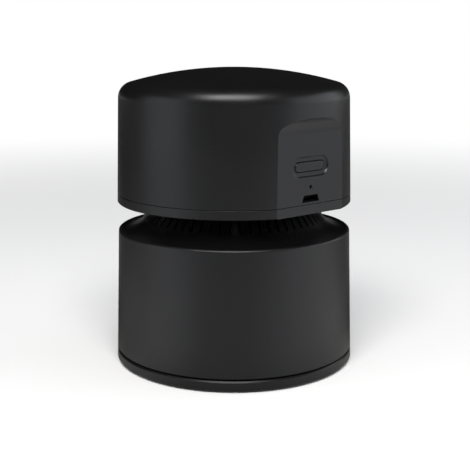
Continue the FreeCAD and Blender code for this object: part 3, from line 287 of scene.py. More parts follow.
def make_bristles():
    """Tufts round the intake, each a sunflower of filaments that sway a little apart."""
    draw = random.Random(7)
    mesh = bmesh.new()
    for tuft in range(tuft_count):
        angle = 2 * math.pi * tuft / tuft_count
        middle = Vector((math.cos(angle), math.sin(angle), 0)) * tuft_circle
        for number in range(filaments_per_tuft):
            reach = math.sqrt((number + 0.5) / filaments_per_tuft) * (tuft_radius - filament_radius)
            turn = number * golden_turn
            spot = Vector((math.cos(turn), math.sin(turn), 0)) * reach
            foot = middle + spot * foot_share + Vector((0, 0, tuft_high[2]))
            sway = Vector((draw.uniform(-1, 1), draw.uniform(-1, 1), 0)) * tip_sway * mm
            tip_height = tuft_low[2] + draw.uniform(0.0, tip_rise) * mm
            tip = middle + spot * tip_share + sway + Vector((0, 0, tip_height))
            add_filament(mesh, foot, tip)
    return mesh


def drawn_plastic(name, colour, rough):
    """Drawn or extruded plastic, such as filaments: faintly translucent, unevenly dyed."""
    finish, tree, shader = new_finish(name)
    place = wired(tree, "ShaderNodeTexCoord").outputs["Object"]
    patches = cloudy(tree, place, 1900.0, 2.0)
    shade = ramp(tree, patches, 0.3, 0.7, 0.65, 1.35)
    tint = wired(tree, "ShaderNodeVectorMath", {0: colour, "Scale": shade}, operation="SCALE")
    tree.links.new(tint.outputs["Vector"], shader.inputs["Base Color"])
    gloss = ramp(tree, patches, 0.0, 1.0, rough - 0.08, rough + 0.08)
    tree.links.new(gloss, shader.inputs["Roughness"])
    shader.inputs["Subsurface Weight"].default_value = 0.05
    shader.inputs["Subsurface Radius"].default_value = (0.0004, 0.0004, 0.0004)
    return finish


bristle_nylon = drawn_plastic("bristle_nylon", (0.016, 0.016, 0.018), 0.34)
bristles = finished_piece("bristles", make_bristles(), bristle_nylon, "base")
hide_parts("brush_tufts")


# ---------------------------------------------------------------- base seal
# A black rubber cord ring in a groove round the spigot. It keeps the dust in when
# the base cover is turned home.

seal_black_rubber = rubbery("seal_black_rubber", (0.010, 0.010, 0.010), (0.022, 0.022, 0.022), 0.5,
                            bump=0.3)
finish_node("base_seal", seal_black_rubber)


# ---------------------------------------------------------------- dust cup and vent collar
# The drafted black housing that holds the dust, and the dished collar clipped into its
# rim. The collar's cone carries the thin slots through which the air leaves.

finish_node("dust_cup", housing_black)
# The collar is a darker copy of the housing's black: painted shade for the dish that lies under the
# head's overhang.
collar_black_painted_shade = moulded("collar_black_painted_shade", (0.003, 0.003, 0.0032), (0.008, 0.008, 0.0085), 0.30,
                       specular=0.45, bump=0.12)
finish_node("vent_collar", collar_black_painted_shade)


# ---------------------------------------------------------------- head base
# The lower ring and floor of the head, in the same black ABS as the shell above it.
# Four pan head screws of zinc plated steel go up through it into the shell's bosses.

finish_node("head_base", housing_black)


def make_turned_group():
    """Fine marks left by turning or drawing metal: streaks along an axis, broken up a little."""
    group, start, end = new_group(
        "tool_marks",
        [("Stretch", "NodeSocketVector", (900.0, 900.0, 9000.0)),
         ("Amount", "NodeSocketFloat", 1.0)],
        [("Height", "NodeSocketFloat"), ("Tarnish", "NodeSocketFloat")])
    place = wired(group, "ShaderNodeTexCoord").outputs["Object"]
    stretched = {0: place, 1: start.outputs["Stretch"]}
    pulled = wired(group, "ShaderNodeVectorMath", stretched, operation="MULTIPLY").outputs["Vector"]
    lines = cloudy(group, pulled, 1.0, 4.0, 0.7)
    height = calculated(group, "MULTIPLY", lines, start.outputs["Amount"])
    group.links.new(height, end.inputs["Height"])
    tarnish = ramp(group, cloudy(group, place, 260.0, 5.0, 0.65), 0.42, 0.72)
    group.links.new(tarnish, end.inputs["Tarnish"])
    return group


tool_marks = make_turned_group()


def metal(name, colour, dull_colour, rough, stretch=(900.0, 900.0, 9000.0), amount=1.0, bump=0.15):
    """Bare or plated metal with tool marks, patchy tarnish and rounded edges."""
    finish, tree, shader = new_finish(name)
    streaked = {"Stretch": stretch, "Amount": amount}
    marks = wired(tree, "ShaderNodeGroup", streaked, node_tree=tool_marks)
    edges = wired(tree, "ShaderNodeGroup", {"Radius": 0.1 * mm}, node_tree=worn_edges)
    tarnish = marks.outputs["Tarnish"]
    tree.links.new(blend(tree, tarnish, colour, dull_colour), shader.inputs["Base Color"])
    dull = calculated(tree, "MULTIPLY_ADD", tarnish, 0.16, rough)
    tree.links.new(dull, shader.inputs["Roughness"])
    raised(tree, shader, marks.outputs["Height"], bump, 0.01 * mm, edges)
    shader.inputs["Metallic"].default_value = 1.0
    return finish


zinc_plate = metal("zinc_plate", (0.62, 0.63, 0.64), (0.42, 0.44, 0.46), 0.28)
finish_node("shell_screws", zinc_plate)


# ---------------------------------------------------------------- fan casing and motor mount
# The casing plugs into the dust cup's neck: inlet plate, guide vanes and three posts,
# moulded in black. The grey motor mount closes it, on a foam gasket and small screws.

finish_node("fan_casing", fitting_black)
finish_node("casing_screws", zinc_plate)
finish_node("neck_seal", soft_grey_rubber)
finish_node("mount_gasket", soft_grey_rubber)
finish_node("mount_screws", zinc_plate)

structure_grey = moulded("structure_grey", (0.115, 0.118, 0.122), (0.19, 0.19, 0.195), 0.46,
                         specular=0.4, grain=4200.0)
finish_node("motor_mount", structure_grey)


# ---------------------------------------------------------------- fan rotor
# A moulded nine-blade impeller pressed on the ground steel shaft of the motor, with the
# three-pole armature of stamped core sheets above it.

finish_node("impeller", structure_grey)
ground_steel = metal("ground_steel", (0.60, 0.60, 0.61), (0.48, 0.48, 0.49), 0.16,
                     stretch=(700.0, 700.0, 12000.0))
finish_node("motor_shaft", ground_steel)
core_sheets = metal("core_sheets", (0.30, 0.30, 0.31), (0.17, 0.16, 0.16), 0.42,
                    stretch=(60.0, 60.0, 2600.0), amount=3.0, bump=0.6)
finish_node("armature", core_sheets)

pole_angles = (90, 210, 330)
core_low = 60.5 * mm
core_high = 75.5 * mm
wire_radius = 0.17 * mm
wire_rows = 8                   # from the slot's floor to its mouth
slot_floor = 4.6 * mm
slot_mouth = 8.3 * mm
layer_offsets = (0.66 * mm, 0.26 * mm)   # from the slot's middle towards the pole
layer_rises = (0.30 * mm, 0.72 * mm)     # of the turns over the core's ends
turn_shares = (-1.0, -0.6, -0.2, 0.2, 0.6, 1.0)      # points of a turn over the pole
core_shares = (0.1, 0.5, 0.9)                        # and along the core
pull_in = 0.14                  # how far a turn is pulled in over the middle of the pole
wire_sides = 6


def winding_loop(pole_angle, radius, offset, rise):
    """Points of one turn of wire round a pole: up one slot, over the core and down the other."""
    pole = math.radians(pole_angle)
    slot_turn = math.radians(60)
    inset = math.asin(offset / radius)
    over = []
    for share in turn_shares:
        turn = pole + share * (slot_turn - inset)
        pulled = radius * (1 - pull_in + pull_in * abs(share))
        over.append((pulled * math.cos(turn), pulled * math.sin(turn)))
    core = core_high - core_low
    points = [Vector((x, y, core_high + rise)) for x, y in over]
    points += [Vector((*over[-1], core_high - share * core)) for share in core_shares]
    points += [Vector((x, y, core_low - rise)) for x, y in reversed(over)]
    points += [Vector((*over[0], core_low + share * core)) for share in core_shares]
    return points


def add_thread(mesh, points, radius, closed, sides):
    """Round wire or thread that follows its points, closed into a ring or open."""
    rings = []
    for number, point in enumerate(points):
        before = points[number - 1] if number or closed else point
        after = points[(number + 1) % len(points)] if number + 1 < len(points) or closed else point
        run = (after - before).normalized()
        outward = Vector((point.x, point.y, 0)).normalized()
        across = run.cross(outward).normalized()
        upright = across.cross(run)
        corners = []
        for side in range(sides):
            turn = 2 * math.pi * (side + 0.5) / sides
            reach = across * math.cos(turn) + upright * math.sin(turn)
            corners.append(mesh.verts.new(point + reach * radius))
        rings.append(corners)
    if closed:
        rings.append(rings[0])
    else:
        mesh.faces.new(rings[0])
        mesh.faces.new(rings[-1])
    join_rings(mesh, rings)


def make_windings():
    """Turns of wire in two layers round each of the three poles."""
    mesh = bmesh.new()
    for pole_angle in pole_angles:
        for offset, rise in zip(layer_offsets, layer_rises):
            for row in range(wire_rows):
                radius = slot_floor + (slot_mouth - slot_floor) * row / (wire_rows - 1)
                loop = winding_loop(pole_angle, radius, offset, rise)
                add_thread(mesh, loop, wire_radius, closed=True, sides=wire_sides)
    return mesh


enamelled_copper = metal("enamelled_copper", (0.60, 0.21, 0.075), (0.40, 0.12, 0.045), 0.25,
                         stretch=(3000.0, 3000.0, 300.0), bump=0.1)
finished_piece("armature_windings", make_windings(), enamelled_copper, "fan_rotor")


# ---------------------------------------------------------------- motor
# A small brushed motor: deep-drawn plated can, two sintered arc magnets glued inside,
# a white nylon end cap with brass terminals, held to the mount by two flat screws.

drawn_can = metal("drawn_can", (0.56, 0.57, 0.58), (0.44, 0.45, 0.46), 0.30,
                  stretch=(2600.0, 2600.0, 120.0))
finish_node("motor_can", drawn_can)
nylon_white = moulded("nylon_white", (0.66, 0.65, 0.62), (0.74, 0.73, 0.71), 0.42,
                      grain=2400.0, wear=0.3)
finish_node("motor_end_cap", nylon_white)
terminal_brass = metal("terminal_brass", (0.72, 0.52, 0.22), (0.52, 0.36, 0.15), 0.26)
finish_node("motor_terminals", terminal_brass)
sintered_black = moulded("sintered_black", (0.030, 0.029, 0.029), (0.075, 0.073, 0.070), 0.6,
                         grain=1800.0, bump=0.8, wear=0.9)
finish_node("motor_magnets", sintered_black)
finish_node("motor_screws", zinc_plate)


# ---------------------------------------------------------------- battery
# One lithium cell behind the motor: a drawn steel can in a shrink sleeve that is folded
# over both ends, with a paper ring round its tip. It lies in a grey saddle, with a
# nickel tab spot-welded to each end.

nickel_strip = metal("nickel_strip", (0.66, 0.63, 0.58), (0.52, 0.50, 0.46), 0.24,
                     stretch=(200.0, 6000.0, 6000.0))
finish_node("battery_tabs", nickel_strip)
finish_node("battery_holder", structure_grey)
finish_node("holder_screws", zinc_plate)

cell_low, cell_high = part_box("battery_cell")
cell_radius = (cell_high[2] - cell_low[2]) / 2
cell_middle = ((cell_low[1] + cell_high[1]) / 2, (cell_low[2] + cell_high[2]) / 2)
cell_start = Vector((cell_low[0], *cell_middle))
cell_axis = Vector((1, 0, 0))
tip_length = 1.0 * mm
tip_radius = 2.6 * mm
cell_length = cell_high[0] - cell_low[0] - tip_length
cell_rounding = 0.8 * mm
rounding_steps = 5
sleeve_thickness = 0.1 * mm
sleeve_lip = 5.4 * mm           # inner radius of the sleeve's folded ends
sleeve_pucker = 0.012 * mm      # how deep the shrunk sleeve is wrinkled
rim_inner = 4.5 * mm            # the can's crimped rim and the groove between it and the tip
groove_outer = 4.1 * mm
groove_inner = 3.1 * mm
groove_depth = 0.6 * mm
tip_flare = 0.25 * mm           # at the tip's foot
ring_radii = (3.2 * mm, 5.3 * mm)
ring_thickness = 0.12 * mm
ring_sink = 0.1 * mm            # how far the paper ring lies below the can's end


def add_turned(mesh, outline, start, along, segments=64, closed=False, pucker=0.0):
    """Surface of revolution about an axis; the outline gives distance along it and radius."""
    side = along.orthogonal().normalized()
    other = along.cross(side)
    rings = []
    for distance, radius in outline:
        middle = start + along * distance
        if radius == 0.0:
            rings.append([mesh.verts.new(middle)])
            continue
        corners = []
        for step in range(segments):
            turn = 2 * math.pi * step / segments
            folds = math.sin(13 * turn) * math.cos(5 * turn)
            reach = radius - pucker * (1 + folds)
            outward = side * math.cos(turn) + other * math.sin(turn)
            corners.append(mesh.verts.new(middle + outward * reach))
        rings.append(corners)
    if closed:
        rings.append(rings[0])
    for below, above in zip(rings, rings[1:]):
        for step in range(segments):
            following = (step + 1) % segments
            corners = [below[step % len(below)], below[following % len(below)],
                       above[following % len(above)], above[step % len(above)]]
            mesh.faces.new(list(dict.fromkeys(corners)))


def rounded_end(radius, end, towards):
    """Outline points round a cylinder's rim, from its end face to its wall."""
    points = []
    for step in range(rounding_steps + 1):
        turn = math.pi / 2 * step / rounding_steps
        distance = end + towards * cell_rounding * (1 - math.sin(turn))
        points.append((distance, radius - cell_rounding * (1 - math.cos(turn))))
    return points


def sleeve_outline(radius, end_inset):
    """Sleeve from its folded lip at one end, along the wall, to the lip at the other."""
    far_end = cell_length - end_inset
    near_rim = rounded_end(radius, end_inset, 1)
    far_rim = rounded_end(radius, far_end, -1)
    return [(end_inset, sleeve_lip)] + near_rim[::-1] + far_rim + [(far_end, sleeve_lip)]


def make_sleeve():
    """Thin sleeve with an outer and an inner skin, closed round both lips."""
    mesh = bmesh.new()
    outside = sleeve_outline(cell_radius, 0.0)
    inside = sleeve_outline(cell_radius - sleeve_thickness, sleeve_thickness)
    outline = outside + inside[::-1]
    add_turned(mesh, outline, cell_start, cell_axis, closed=True, pucker=sleeve_pucker)
    return mesh


def make_can():
    """Steel can just inside the sleeve: floor, wall, crimped rim with its groove, and tip."""
    mesh = bmesh.new()
    inset = 1.2 * sleeve_thickness
    wall = cell_radius - 1.6 * sleeve_thickness
    groove = cell_length - groove_depth
    tip_end = cell_length + tip_length
    floor = [(0.0, 0.0), (0.0, sleeve_lip - 0.5 * mm), (inset, sleeve_lip - 0.2 * mm)]
    near_rim = rounded_end(wall, inset, 1)
    far_rim = rounded_end(wall, cell_length - inset, -1)
    crimp = [(cell_length - inset, rim_inner), (groove, groove_outer), (groove, groove_inner)]
    tip_foot = [(cell_length, tip_radius + tip_flare), (cell_length + 0.1 * mm, tip_radius)]
    tip = [(cell_length + 0.8 * tip_length, tip_radius), (tip_end, tip_radius - 0.2 * mm),
           (tip_end, 0.0)]
    outline = floor + near_rim[::-1] + far_rim + crimp + tip_foot + tip
    add_turned(mesh, outline, cell_start, cell_axis)
    return mesh


def make_end_ring():
    """Flat paper ring round the tip."""
    mesh = bmesh.new()
    inner, outer = ring_radii
    low = cell_length - ring_sink
    high = low + ring_thickness
    outline = [(low, inner), (low, outer), (high, outer), (high, inner)]
    add_turned(mesh, outline, cell_start, cell_axis, closed=True)
    return mesh


sleeve_blue = moulded("sleeve_blue", (0.030, 0.085, 0.24), (0.05, 0.12, 0.30), 0.24,
                      grain=700.0, depth=0.6, bump=0.35, wear=0.2)
cell_sleeve = finished_piece("cell_sleeve", make_sleeve(), sleeve_blue, "power_unit")
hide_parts("battery_cell")
can_steel = metal("can_steel", (0.58, 0.57, 0.55), (0.44, 0.43, 0.41), 0.22,
                  stretch=(9000.0, 500.0, 500.0))
finished_piece("cell_can", make_can(), can_steel, "power_unit")
paper_white = rubbery("paper_white", (0.66, 0.65, 0.61), (0.74, 0.73, 0.70), 0.8, grain=3200.0)
finished_piece("cell_end_ring", make_end_ring(), paper_white, "power_unit")


# ---------------------------------------------------------------- circuit board
# Green board screwed to four bosses behind the flat panel. It carries the charging
# socket, the push switch, the indicator and the charging and switching parts.

board_mask = moulded("board_mask", (0.010, 0.085, 0.040), (0.05, 0.13, 0.07), 0.30,
                     grain=900.0, depth=0.5, bump=0.2, wear=0.3)
finish_node("circuit_board", board_mask)
finish_node("board_screws", zinc_plate)
blackened_steel = metal("blackened_steel", (0.006, 0.006, 0.0065), (0.004, 0.004, 0.004), 0.45)
finish_node("usb_shell", blackened_steel)
socket_black = moulded("socket_black", (0.0030, 0.0030, 0.0032), (0.008, 0.008, 0.0085), 0.7,
                       specular=0.08)
finish_node("usb_tongue", socket_black)
finish_node("tact_switch", fitting_black)
finish_node("status_led", nylon_white)

board_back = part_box("circuit_board")[1][1]
small_package = ((2.9, 1.5), 1.05, 2)
controller = ((-0.6, 66.4), (5.0, 3.9), 1.5, 4)      # middle, size, height and legs a side, in mm
motor_driver = ((6.4, 66.2), *small_package)
guard = ((-6.8, 66.2), *small_package)
packages = (controller, motor_driver, guard)
package_gap = 0.12              # under a package
package_rounding = 0.12
leg_path = ((-0.1, 0.6), (0.25, 0.6), (0.5, 0.1), (0.95, 0.1))       # reach and rise
leg_section = ((-0.2, -0.08), (0.2, -0.08), (0.2, 0.08), (-0.2, 0.08))
chip_places = ((-3.6, 71.6, 0), (-3.6, 73.4, 0), (3.6, 71.6, 0), (3.6, 73.4, 0), (0.0, 75.6, 90),
               (1.9, 75.6, 90), (-1.9, 75.6, 90), (6.4, 63.4, 0), (-6.8, 63.4, 0))
chip_length = 2.0
chip_half_width = 0.6
chip_height = 0.5
chip_rounding = 0.06
ceramic_share = 0.3             # from a chip's middle to the ends of its ceramic
cap_shares = (0.28, 0.5)        # and where its solder caps begin and end
solder_skin = 0.04              # solder stands proud of a chip by this much
lead_cone = ((0.0, 1.15), (0.15, 0.95), (0.45, 0.76), (0.8, 0.64), (0.8, 0.0))   # rise and radius
pin_drop = ((0.0, 0.75), (0.2, 0.6), (0.45, 0.38), (0.6, 0.18), (0.62, 0.0))
motor_pads = ((-5.0, 76.2), (5.0, 76.2))
battery_pads = ((-7.0, 70.4), (7.0, 70.4))
switch_pins = ((-2.3, 68.9), (2.3, 68.9), (-2.3, 72.4), (2.3, 72.4))
socket_pins = ((-3.3, 61.7), (3.3, 61.7))
track_width = 0.6
track_height = 0.05
track_rounding = 0.02
motor_lane = 1.7                # from a package's middle to the tracks of the motor's pads
battery_lane = 0.6              # and to those of the battery's
chip_track_start = 67.0         # height at which the chips' tracks start


def on_board(x, z, rise=0.0):
    """Point in millimetres on the board's back, or above it."""
    return Vector((x * mm, board_back + rise * mm, z * mm))


def add_block(mesh, x_range, rise_range, z_range, rounding):
    """Rectangular body on the board's back with rounded edges."""
    cube = bmesh.ops.create_cube(mesh, size=1.0)["verts"]
    low = on_board(x_range[0], z_range[0], rise_range[0])
    high = on_board(x_range[1], z_range[1], rise_range[1])
    for corner in cube:
        shares = [corner.co[axis] + 0.5 for axis in range(3)]
        corner.co = Vector(low[axis] + (high[axis] - low[axis]) * shares[axis] for axis in range(3))
    edges = list(dict.fromkeys(edge for corner in cube for edge in corner.link_edges))
    bmesh.ops.bevel(mesh, geom=edges, offset=rounding * mm, segments=2, profile=0.5, affect="EDGES")


def add_leg(mesh, x, z, outward):
    """Tinned leg of a package: out of its side, down to the pad and flat on it."""
    rings = []
    for reach, rise in leg_path:
        middle = on_board(x, z + outward * reach, rise)
        rings.append([mesh.verts.new(middle + Vector((across, up, 0)) * mm)
                      for across, up in leg_section])
    join_rings(mesh, rings)
    mesh.faces.new(rings[0])
    mesh.faces.new(rings[-1])


def make_packages():
    """Bodies of the three packages, a little above the board."""
    mesh = bmesh.new()
    for (x, z), (width, depth), height, _ in packages:
        x_range = (x - width / 2, x + width / 2)
        z_range = (z - depth / 2, z + depth / 2)
        add_block(mesh, x_range, (package_gap, height), z_range, package_rounding)
    return mesh


def make_legs():
    """Rows of legs along both long sides of each package."""
    mesh = bmesh.new()
    for (x, z), (width, depth), _, count in packages:
        for number in range(count):
            spot = x + width * ((number + 0.5) / count - 0.5)
            for outward in (-1, 1):
                add_leg(mesh, spot, z + outward * depth / 2, outward)
    return mesh


def chip_block(mesh, x, z, turned, span, half_width, height):
    """Part of a chip resistor between two places along it."""
    along = (x + span[0], x + span[1])
    aside = (z - half_width, z + half_width)
    if turned:
        along = (x - half_width, x + half_width)
        aside = (z + span[0], z + span[1])
    add_block(mesh, along, (0.0, height), aside, chip_rounding)


def make_chips():
    """Ceramic middles of the chip resistors and capacitors."""
    mesh = bmesh.new()
    reach = ceramic_share * chip_length
    for x, z, turned in chip_places:
        chip_block(mesh, x, z, turned, (-reach, reach), chip_half_width, chip_height)
    return mesh


def make_tinning():
    """Solder: caps on the chips, cones round the leads and drops on the pins."""
    mesh = bmesh.new()
    half_width = chip_half_width + solder_skin
    height = chip_height + solder_skin
    for x, z, turned in chip_places:
        for side in (-1, 1):
            span = sorted(side * share * chip_length for share in cap_shares)
            chip_block(mesh, x, z, turned, span, half_width, height)
    joints = ((motor_pads + battery_pads, lead_cone), (switch_pins + socket_pins, pin_drop))
    for places, outline in joints:
        metres = [(rise * mm, radius * mm) for rise, radius in outline]
        for x, z in places:
            add_turned(mesh, metres, on_board(x, z), Vector((0, 1, 0)), segments=20)
    return mesh


def add_track(mesh, x_range, z_range):
    """Flat copper track over a rectangle of the board."""
    add_block(mesh, x_range, (0.0, track_height), z_range, track_rounding)


def make_tracks():
    """Copper tracks under the solder mask, from the pads to the packages."""
    mesh = bmesh.new()
    half = track_width / 2
    for (pad_x, pad_z), package in zip(motor_pads + battery_pads, (guard, motor_driver) * 2):
        (x, z), _, _, _ = package
        side = 1 if pad_x > 0 else -1
        lane = x + side * (motor_lane if (pad_x, pad_z) in motor_pads else battery_lane)
        add_track(mesh, sorted((pad_x, lane + side * half)), (pad_z - half, pad_z + half))
        add_track(mesh, (lane - half, lane + half), (z, pad_z))
    for x, z, _ in chip_places[:4]:
        add_track(mesh, (x - half, x + half), (chip_track_start, z))
    return mesh


finished_piece("board_packages", make_packages(), fitting_black, "power_unit")
finished_piece("package_legs", make_legs(), nickel_strip, "power_unit")
chip_brown = moulded("chip_brown", (0.12, 0.075, 0.045), (0.18, 0.12, 0.08), 0.4, grain=4200.0)
finished_piece("board_chips", make_chips(), chip_brown, "power_unit")
solder = metal("solder", (0.62, 0.62, 0.60), (0.46, 0.46, 0.45), 0.3,
               stretch=(1500.0, 1500.0, 1500.0), bump=0.3)
finished_piece("board_solder", make_tinning(), solder, "power_unit")
track_mask = moulded("track_mask", (0.020, 0.140, 0.060), (0.05, 0.17, 0.08), 0.28,
                     grain=900.0, depth=0.5, bump=0.2)
finished_piece("board_tracks", make_tracks(), track_mask, "power_unit")


# ---------------------------------------------------------------- leads
# Four short tinned-copper leads in red PVC, soldered from the board to the motor's
# terminals and to the cell's tabs.

lead_red = drawn_plastic("lead_red", (0.36, 0.012, 0.010), 0.36)
finish_node("motor_leads", lead_red)
finish_node("battery_leads", lead_red)


# ---------------------------------------------------------------- filter
# A grey moulded cage with a grip ring, turned into the fan casing's collar. A screen of
# plain-woven nylon stands behind its ribs and keeps crumbs out of the fan.

finish_node("filter_frame", structure_grey)
screen_low, screen_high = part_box("filter_mesh")
weave_pitch = 1.0 * mm
weave_thread = 0.12 * mm        # radius of a thread, and its swing over the threads it crosses
weave_sides = 4
weave_radius = screen_high[0] - 2 * weave_thread
weave_uprights = 2 * round(math.pi * weave_radius / weave_pitch)
weave_hoops = round((screen_high[2] - screen_low[2]) / weave_pitch)


def woven_point(turn, swing, share):
    """Point of the screen at an angle, swung in or out, at a share of the screen's height."""
    reach = weave_radius + swing * weave_thread
    height = screen_low[2] + (screen_high[2] - screen_low[2]) * share
    return Vector((reach * math.cos(turn), reach * math.sin(turn), height))


def make_screen():
    """Upright threads and hoops that pass over and under one another in turn."""
    mesh = bmesh.new()
    for number in range(weave_uprights):
        turn = 2 * math.pi * number / weave_uprights
        points = []
        for step in range(2 * weave_hoops + 1):
            swing = (-1) ** number * math.sin(math.pi * step / 2)
            points.append(woven_point(turn, swing, step / (2 * weave_hoops)))
        add_thread(mesh, points, weave_thread, closed=False, sides=weave_sides)
    for hoop in range(weave_hoops):
        share = (hoop + 0.5) / weave_hoops
        points = []
        for step in range(2 * weave_uprights):
            swing = -(-1) ** hoop * math.cos(math.pi * step / 2)
            points.append(woven_point(math.pi * step / weave_uprights, swing, share))
        add_thread(mesh, points, weave_thread, closed=True, sides=weave_sides)
    return mesh


screen_nylon = drawn_plastic("screen_nylon", (0.55, 0.55, 0.53), 0.5)
screen = finished_piece("filter_screen", make_screen(), screen_nylon, "filter")
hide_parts("filter_mesh")


# ---------------------------------------------------------------- top shell
# The domed shell with the flat control panel, in satin black ABS. Its lip drops over
# the head base and leaves the hairline joint.

finish_node("top_shell", housing_black)


# ---------------------------------------------------------------- button and light pipe
# A pill-shaped button of the shell's black in the dished recess, with the white plunger
# of the switch behind it, and a clear rod that brings the indicator's light to its hole.

button_black = moulded("button_black", housing_colour, housing_edge, 0.33, specular=0.44)
finish_node("power_button", button_black)
finish_node("switch_plunger", nylon_white)


def clear_plastic(name):
    """Clear acrylic: faint haze inside and soft moulding lines on its skin."""
    finish, tree, shader = new_finish(name)
    surface = wired(tree, "ShaderNodeGroup", {"Scale": 1500.0}, node_tree=mould_grain)
    haze = calculated(tree, "MULTIPLY_ADD", surface.outputs["Gloss"], 0.04, 0.14)
    tree.links.new(haze, shader.inputs["Roughness"])
    raised(tree, shader, surface.outputs["Height"], 0.1, 0.01 * mm)
    shader.inputs["Base Color"].default_value = (0.86, 0.88, 0.88, 1.0)
    shader.inputs["Transmission Weight"].default_value = 1.0
    shader.inputs["IOR"].default_value = 1.49
    return finish


clear_acrylic = clear_plastic("clear_acrylic")
finish_node("light_pipe", clear_acrylic)


# ---------------------------------------------------------------- studio
# Pale plain floor that keeps the machine's shadow, with a painted reflection in the colour
# that gloss sees, a white surround, a broad soft box on the right, a narrower one on the
# left and one high above the front.

away = Vector((0.65474, 0.75585, 0.0))      # level, as the camera looks
right = Vector((0.75585, -0.65474, 0.0))
floor_radius = 6.0
floor_white = (0.90, 0.925, 0.97)   # as the camera sees the floor
floor_bounce = 0.28                 # what it throws back on the machine
painted_card_white = 1.0                    # painted reflection of pale cards on both sides, in the colour that gloss sees
painted_front_white = 0.56                  # painted reflection of the floor before the machine
painted_side_white = 0.14                   # painted reflection of the floor beyond the painted cards
painted_back_white = 0.35                   # painted glow added straight behind it
painted_foot_shadow_white = 0.4                    # painted shadow: share that is left close to the foot
painted_far_left_white = 0.5                # painted shade: shares that are left far out
painted_far_right_white = 0.8

# Where these set in and are full: across from -1 left to 1 right, behind from -1 before
# the machine to 1 behind it, and reaches in metres.
painted_right_card_spans = ((0.1, 0.95), (0.45, -0.2))      # across, behind
painted_left_card_spans = ((-0.35, -0.8), (0.0, -0.5))
open_floor_behind = (-0.1, 0.7)
painted_glow_behind = (0.7, 1.0)
far_right_across = (0.3, 0.85)
foot_middle = away * 0.04
foot_reach = (0.055, 0.12)
far_reach = (0.1, 0.5)
surround_reach = (0.16, 0.75)
horizon_band = (0.0, 0.02)          # height of the pale band that gloss mirrors
room_diffuse = 0.28                 # light of the room on matt surfaces
room_glossy = 0.006                 # and as gloss mirrors it


def smooth_ramp(tree, value, span, low=0.0, high=1.0):
    """Smooth change from low to high over a span of the value."""
    return ramp(tree, value, *span, low, high, shape="SMOOTHSTEP")


def painted_card_mask(tree, across, behind, spans):
    """Where a painted pale card shows in the floor's reflection, from its spans across and behind.
    """
    fades = [smooth_ramp(tree, value, span) for value, span in zip((across, behind), spans)]
    return calculated(tree, "MULTIPLY", *fades)


def mirrored_rays(tree, rays):
    """1 for light that gloss mirrors or clear plastic lets through."""
    glossy, clear = rays.outputs["Is Glossy Ray"], rays.outputs["Is Transmission Ray"]
    return calculated(tree, "MAXIMUM", glossy, clear)


def measured(tree, operation, *vectors):
    """Value of a vector node, such as a length or a distance."""
    links = dict(enumerate(vectors))
    return wired(tree, "ShaderNodeVectorMath", links, operation=operation).outputs["Value"]


def pale_floor():
    """Pale matt floor that turns into the white surround further out. What gloss mirrors is a
    painted reflection in its colour: a pale painted card on each side and a darker room behind."""
    finish, tree, shader = new_finish("pale_floor")
    place = wired(tree, "ShaderNodeTexCoord").outputs["Object"]
    speckle = ramp(tree, cloudy(tree, place, 900.0, 3.0), 0.0, 1.0, 0.75, 0.95)
    tree.links.new(speckle, shader.inputs["Roughness"])
    shader.inputs["Specular IOR Level"].default_value = 0.1

    length = measured(tree, "LENGTH", place)
    way = wired(tree, "ShaderNodeVectorMath", {0: place}, operation="NORMALIZE").outputs["Vector"]
    across = measured(tree, "DOT_PRODUCT", way, right)
    behind = measured(tree, "DOT_PRODUCT", way, away)
    # Painted reflection: pale cards, a darker room and a glow behind, put into the colour that
    # gloss sees.
    painted_right_card = painted_card_mask(tree, across, behind, painted_right_card_spans)
    painted_left_card = painted_card_mask(tree, across, behind, painted_left_card_spans)
    painted_cards = calculated(tree, "MAXIMUM", painted_right_card, painted_left_card)
    open_floor = calculated(tree, "ADD",
                            smooth_ramp(tree, behind, open_floor_behind, painted_front_white, painted_side_white),
                            smooth_ramp(tree, behind, painted_glow_behind, 0.0, painted_back_white))
    paleness = ramp(tree, painted_cards, 0.0, 1.0, open_floor, painted_card_white)
    # Painted shadow round the foot and painted shade further out, in the colour that gloss sees.
    from_foot = measured(tree, "DISTANCE", place, foot_middle)
    painted_foot_shadow = smooth_ramp(tree, from_foot, foot_reach, painted_foot_shadow_white, 1.0)
    painted_far_white = smooth_ramp(tree, across, far_right_across, painted_far_left_white, painted_far_right_white)
    painted_far_shade = smooth_ramp(tree, length, far_reach, 1.0, painted_far_white)
    near_pale = calculated(tree, "MULTIPLY", paleness, painted_foot_shadow)
    painted_reflection = calculated(tree, "MULTIPLY", near_pale, painted_far_shade)

    rays = wired(tree, "ShaderNodeLightPath")
    in_camera = rays.outputs["Is Camera Ray"]
    unseen = ramp(tree, mirrored_rays(tree, rays), 0.0, 1.0, floor_bounce, painted_reflection)
    ends = {"Factor": in_camera, 6: unseen, 7: (*floor_white, 1.0)}
    pale = wired(tree, "ShaderNodeMix", ends, data_type="RGBA")
    tree.links.new(pale.outputs[2], shader.inputs["Base Color"])

    surround = calculated(tree, "MULTIPLY", in_camera, smooth_ramp(tree, length, surround_reach))
    white = wired(tree, "ShaderNodeEmission", {"Color": (1.0, 1.0, 1.0, 1.0), "Strength": 1.0})
    both = {0: surround, 1: shader.outputs[0], 2: white.outputs[0]}
    mixed = wired(tree, "ShaderNodeMixShader", both)
    tree.links.new(mixed.outputs[0], tree.nodes["Material Output"].inputs["Surface"])
    return finish


def make_floor():
    """Round flat floor under the machine."""
    mesh = bmesh.new()
    bmesh.ops.create_circle(mesh, cap_ends=True, segments=96, radius=floor_radius)
    data = bpy.data.meshes.new("floor")
    mesh.to_mesh(data)
    mesh.free()
    data.materials.append(pale_floor())
    floor = bpy.data.objects.new("floor", data)
    bpy.context.scene.collection.objects.link(floor)


make_floor()


